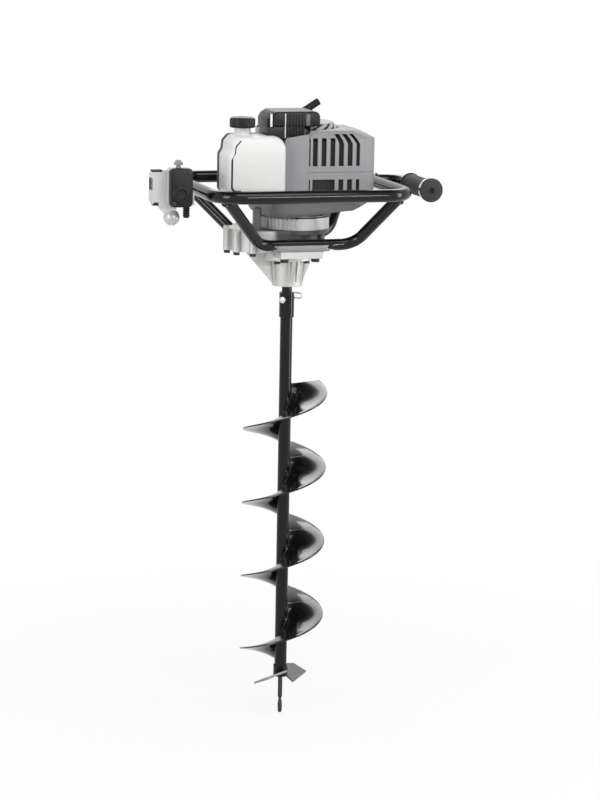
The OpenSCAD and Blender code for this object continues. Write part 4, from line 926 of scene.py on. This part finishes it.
def filter_notch():
    """The recess in the tank's top that clears the filter."""
    low = Vector((end_left - 2.5 * mm, filter_low.y - 2.5 * mm, base_low.z - 0.4 * mm))
    high = Vector((tank_high.x + 20 * mm, tank_high.y + 20 * mm, tank_top + 20 * mm))
    return new_piece("filter_notch", *block(low, high, 4 * mm, 1 * mm, 1 * mm), tank_material)


body_rings = pushed(tank_corners(0), tank_radii, tank_low.y, tank_high.y, tank_edge, 8)
neck_profile = [(18 * mm, tank_top - 6 * mm), (16 * mm, tank_top + 1 * mm), (14 * mm, tank_top + 4 * mm),
                (14 * mm, neck_top - 1 * mm), (13 * mm, neck_top)]
tank = new_piece("tank_body", *loft(body_rings), tank_material)
carve(tank, filter_notch())
neck = new_piece("tank_neck", *loft(lathe(neck_profile, cap_mid, (0, 0, 1))), tank_material)
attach(neck, "head")
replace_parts(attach(tank, "head"), "fuel_tank")
bands = []
for swell, y, width in ((-5 * mm, tank_low.y + 0.8 * mm, 5 * mm),
                        (0.5 * mm, tank_high.y - 22 * mm, 12 * mm)):
    bands.append(loft(pushed(tank_corners(swell), tank_radii, y, y + width, 0.4 * mm, 2)))
piece = new_piece("tank_bands", *merged(bands), black_moulding)
bare_low = Vector((tank_low.x + 22 * mm, tank_low.y - 5 * mm, tank_low.z - 5 * mm))
bare_high = Vector((tank_high.x + 20 * mm, tank_low.y + 10 * mm, tank_top + 20 * mm))
band_end = new_piece("band_end", *block(bare_low, bare_high, 1 * mm, 1 * mm, 1 * mm), black_moulding)
carve(piece, filter_notch(), band_end)
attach(piece, "head")
cap_r = (cap_high.x - cap_low.x) / 2
cap_teeth = 36
cap_foot = cap_low.z + 2.5 * mm
cap_rows = [(0.93, cap_foot, 0), (0.97, cap_foot + 1 * mm, 1), (0.97, cap_high.z - 4 * mm, 1),
            (0.93, cap_high.z - 1.5 * mm, 0.4), (0.86, cap_high.z - 0.3 * mm, 0), (0.8, cap_high.z, 0),
            (0.72, cap_high.z - 0.8 * mm, 0), (0.3, cap_high.z - 1 * mm, 0)]
cap_sides = cap_teeth * 4
cap_rings = []
for share, z, ribbed in cap_rows:
    ring = []
    for k in range(cap_sides):
        tooth = ribbed * (0.03 if k % 4 < 2 else -0.02)
        t = 2 * pi * k / cap_sides
        r = cap_r * (share + tooth)
        ring.append(cap_mid + Vector((r * cos(t), r * sin(t), z)))
    cap_rings.append(ring)
cap = new_piece("ribbed_cap", *loft(cap_rings), black_moulding, 28)
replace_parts(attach(cap, "cap"), "fuel_cap")

# The carrying frame: a bent tube loop, two U stays with flattened feet in steel saddles and two handle tubes.
# It is welded and then sprayed gloss black, so the beads are under the same paint.
frame_enamel = enamel("frame_enamel", black, dusty_black, 0.08)
loop_low, loop_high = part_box("frame_loop")
tube = (loop_high.z - loop_low.z) / 2
loop_z = (loop_high.z + loop_low.z) / 2
loop_x = loop_high.x - tube
loop_y = loop_high.y - tube
loop_bend = 50 * mm
loop_corners = [Vector((sx * loop_x, sy * loop_y, loop_z)) for sx, sy in ((-1, -1), (1, -1), (1, 1), (-1, 1))]
loop_path = bent_path(loop_corners, loop_bend, True)
loop = new_piece("loop_tube", *loft(tube_rings(loop_path, tube, 32, True), loop=True), frame_enamel)
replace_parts(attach(loop, "head"), "frame_loop")

stay_r = 10 * mm
stay_bend = 40 * mm
pad_y = 76 * mm
pad_lift = 4 * mm
pad_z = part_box("front_stay")[0].z + stay_r + 0.4 * mm + pad_lift
pad_half_x = 48 * mm
saddle_half_x = 53 * mm
pad_half_y = 13 * mm
pad_half_z = 6 * mm
pad_square = 0.4
press_run = 14 * mm
pad_steps = 14
knee_left, knee_right = -72 * mm, 97 * mm
corner_x = loop_x - loop_bend * (1 - cos(pi / 4))
corner_y = loop_y - loop_bend * (1 - sin(pi / 4))
welds = []
saddles = []


def weld_collar(radius, proud, place, along):
    """A weld bead round a tube, where it runs into another."""
    rows = [(0.2 * mm, 9.5 * mm), (proud, 11 * mm), (proud, 12.5 * mm), (0.2 * mm, 15 * mm)]
    return loft(lathe([(radius + out, h) for out, h in rows], place, along, 40), ends=False)


for side, name in ((-1, "front_stay"), (1, "rear_stay")):
    points = [Vector((-corner_x, side * corner_y, loop_z)), Vector((knee_left, side * pad_y, pad_z)),
              Vector((knee_right, side * pad_y, pad_z)), Vector((corner_x, side * corner_y, loop_z))]
    path = bent_path(points, stay_bend)
    flat = [i for i in range(len(path) - 1) if path[i].x < 0 < path[i + 1].x][0]
    first, last = path[flat], path[flat + 1]
    extra = [first.lerp(last, k / pad_steps) for k in range(1, pad_steps)]
    path = path[:flat + 1] + extra + path[flat + 1:]
    rings = []
    for point, ring in zip(path, tube_rings(path, stay_r, 32)):
        squeeze = min(max((abs(point.x) - pad_half_x) / press_run, 0), 1)
        squeeze = 1 if point.z > pad_z + 1 * mm else squeeze * squeeze * (3 - 2 * squeeze)
        section = []
        for p in ring:
            offset = p - point
            c, t = offset.y / stay_r, offset.z / stay_r
            flat_y = pad_half_y * (1 if c > 0 else -1) * abs(c) ** pad_square
            flat_z = -pad_half_z * abs(t) ** pad_square
            pressed = Vector((offset.x, flat_y, flat_z)) if t < 0 else offset
            section.append(point + pressed.lerp(offset, squeeze))
        rings.append(section if squeeze < 1 else ring)
    stay = new_piece(name + "_tube", *loft(rings), frame_enamel)
    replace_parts(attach(stay, "head"), name)
    saddle_low = Vector((-saddle_half_x, side * pad_y - pad_half_y - 0.6 * mm,
                         pad_z - pad_half_z + 0.2 * mm - pad_lift))
    saddle_high = Vector((saddle_half_x, side * pad_y + pad_half_y + 0.6 * mm, pad_z + 1.5 * mm))
    saddles.append(block(saddle_low, saddle_high, 12 * mm, 1.5 * mm, 1 * mm))
    for top, knee in ((points[0], points[1]), (points[3], points[2])):
        welds.append(weld_collar(stay_r, 2.2 * mm, top, knee - top))

handle_low, handle_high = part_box("right_handle_tube")
handle_x = handle_high.x - tube
handle_y = handle_high.y - tube
handle_bend = 40 * mm
for side, name in ((-1, "left_handle_tube"), (1, "right_handle_tube")):
    points = [Vector((side * handle_x, handle_low.y, loop_z)), Vector((side * handle_x, handle_y, loop_z)),
              Vector((side * (loop_x + 2 * mm), handle_y, loop_z))]
    rings = tube_rings(bent_path(points, handle_bend), tube, 32)
    piece = new_piece(name + "_bend", *loft(rings), frame_enamel)
    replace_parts(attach(piece, "head"), name)
    welds.append(weld_collar(tube, 2.4 * mm, (side * loop_x, handle_y, loop_z), (side, 0, 0)))
piece = new_piece("frame_welds", *merged(welds), frame_enamel)
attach(piece, "head")
piece = new_piece("stay_saddles", *merged(saddles), blade_steel)
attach(piece, "head")

# The grips: moulded black rubber pushed on the handle tubes, diamond knurled, with a flanged end.
# The right one's end disc has a vent hole and a pale ring shows behind it.
grip_r = 17 * mm
rubber, rubber_shader, flow = coating("grip_rubber", {"IOR": 1.45})
place = flow.node("TexCoord", output="Object")
x, y, z = [flow.node("SeparateXYZ", inputs={0: place}, output=k) for k in range(3)]
turn = flow.sum("ARCTAN2", z - loop_z, flow.sum("ABSOLUTE", x) - handle_x)
knurls = 36
run = y * (knurls / grip_r)
knurl = flow.sum("SINE", turn * knurls + run) * flow.sum("SINE", turn * knurls - run)
worn = grain(flow, 60, 5)
tint(flow, (0.012, 0.012, 0.012), (0.035, 0.035, 0.035), worn).into(rubber_shader, "Base Color")
(0.5 + 0.25 * worn).into(rubber_shader, "Roughness")
relief(flow, rubber_shader, knurl, 0.5 * mm, 0.6)
vent_r = 4.5 * mm
bead_out = grip_r + 2 * mm
for side, name, flange in ((-1, "left_grip", 19 * mm), (1, "right_grip", 20.9 * mm)):
    low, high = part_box(name)
    length = high.y - low.y
    profile = [(vent_r, 3 * mm), (vent_r, 0.6 * mm), (vent_r + 0.5 * mm, 0), (flange - 3 * mm, 0),
               (flange - 0.8 * mm, 0.7 * mm), (flange, 2 * mm), (flange, 3.6 * mm),
               (flange - 0.8 * mm, 4.8 * mm), (grip_r, 5.2 * mm), (grip_r, 8 * mm), (grip_r, length * 0.5),
               (grip_r, length - 6 * mm),
               (bead_out - 0.4 * mm, length - 4.4 * mm), (bead_out, length - 3 * mm),
               (bead_out - 0.4 * mm, length - 0.8 * mm), (grip_r, length), (tube, length)]
    rings = lathe(profile, (side * handle_x, low.y, loop_z), (0, 1, 0), 64)
    piece = new_piece(name + "_rubber", *loft(rings), rubber)
    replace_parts(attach(piece, "head"), name)
ring_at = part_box("right_grip")[0].y + 6 * mm
ring_profile = [(-1, 0), (3, 0), (3.8, 1), (3.8, 6), (3, 7), (-1, 7.4)]
rings = lathe([(grip_r + out * mm, h * mm) for out, h in ring_profile], (handle_x, ring_at, loop_z),
              (0, 1, 0), 64)
piece = new_piece("grip_ring", *loft(rings, ends=False), bright_plating)
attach(piece, "head")

# The throttle unit: a black moulded front on an alloy body clamped to the left tube's end, an alloy thumb
# lever that turns on the tube, a stepped stop button and a ribbed cable ferrule.
lever_alloy = casting("lever_alloy", (0.48, 0.485, 0.49), (0.56, 0.565, 0.57), 0.26, 0.25)
finish_nodes(lever_alloy, "throttle_rear_shell", "throttle_lever")
front_low, front_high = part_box("throttle_front_shell")
face_y = front_low.y + 3 * mm
lying_low = Vector((front_low.x, front_low.z, 0))
lying_high = Vector((front_high.x, front_high.z, front_high.y - face_y))
front_rings = [[Vector((p.x, front_high.y - p.z, p.y)) for p in ring]
               for ring in box_rings(lying_low, lying_high, 8 * mm, 2.2 * mm, 0.3 * mm)]
boss_x, boss_z = front_low.x + 18.5 * mm, loop_z + 2 * mm
boss_profile = [(15.6, -1), (15.6, 1.6), (14, 2.8), (10, 3), (8.4, 0.6), (1, 0.4)]
boss_turns = [pi / 8 + pi / 4 * k for k in range(8)]
boss = [[Vector((boss_x + r * mm * cos(t), face_y - h * mm, boss_z + r * mm * sin(t))) for t in boss_turns]
        for r, h in boss_profile]
front = new_piece("throttle_face", *merged([loft(front_rings), loft(boss)]), black_moulding, 30)
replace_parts(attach(front, "head"), "throttle_front_shell")
lever_low, lever_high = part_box("throttle_lever")
lever_y = (lever_low.y + lever_high.y) / 2
lever_half = 7.2 * mm
trims = []
for x0, x1, z0, z1 in ((2, 20, -3, 1), (0, 3, -34, -12), (4, 14, -60, -54)):
    trims.append(block(Vector((lever_low.x + x0 * mm, lever_y - lever_half, lever_high.z + z0 * mm)),
                       Vector((lever_low.x + x1 * mm, lever_y + lever_half, lever_high.z + z1 * mm)),
                       1.2 * mm, 0.8 * mm, 0.8 * mm, 2))
piece = new_piece("lever_trims", *merged(trims), black_moulding)
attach(piece, "throttle")
knob_low, knob_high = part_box("stop_button")
knob_drop = (knob_high.z - knob_low.z) / mm
knob_profile = [(4, knob_drop), (4, 8.2), (7.8, 8), (8, 7.4), (8, 4.6), (7.4, 4), (5.4, 4), (5.2, 1),
                (4.4, 0.2), (3.6, 0), (0.4, 0)]
knob_grey = moulding_finish("knob_grey", (0.22, 0.222, 0.23), (0.34, 0.342, 0.35), 0.5)
knob_top = axis_of((knob_low, knob_high), knob_high.z)
knob_rings = lathe([(r * mm, -drop * mm) for r, drop in knob_profile], knob_top, (0, 0, 1))
knob = new_piece("stop_knob", *loft(knob_rings), knob_grey)
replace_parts(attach(knob, "stop_button"), "stop_button")
boot_low, boot_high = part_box("cable_ferrule")
boot_profile = [(2.4, 2), (2.6, 0), (4.6, 0), (5, 0.8)]
for k in range(4):
    h = 2 + 4 * k
    boot_profile += [(5, h), (6, h + 0.8), (6, h + 2.4), (5, h + 3.2)]
boot_profile += [(6, 18.6), (6, 20), (4, 20.2), (4, (boot_high.z - boot_low.z) / mm)]
boot_foot = axis_of((boot_low, boot_high), boot_low.z)
boot_rings = lathe([(r * mm, h * mm) for r, h in boot_profile], boot_foot, (0, 0, 1))
boot = new_piece("ferrule_boot", *loft(boot_rings), black_moulding)
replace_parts(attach(boot, "head"), "cable_ferrule")
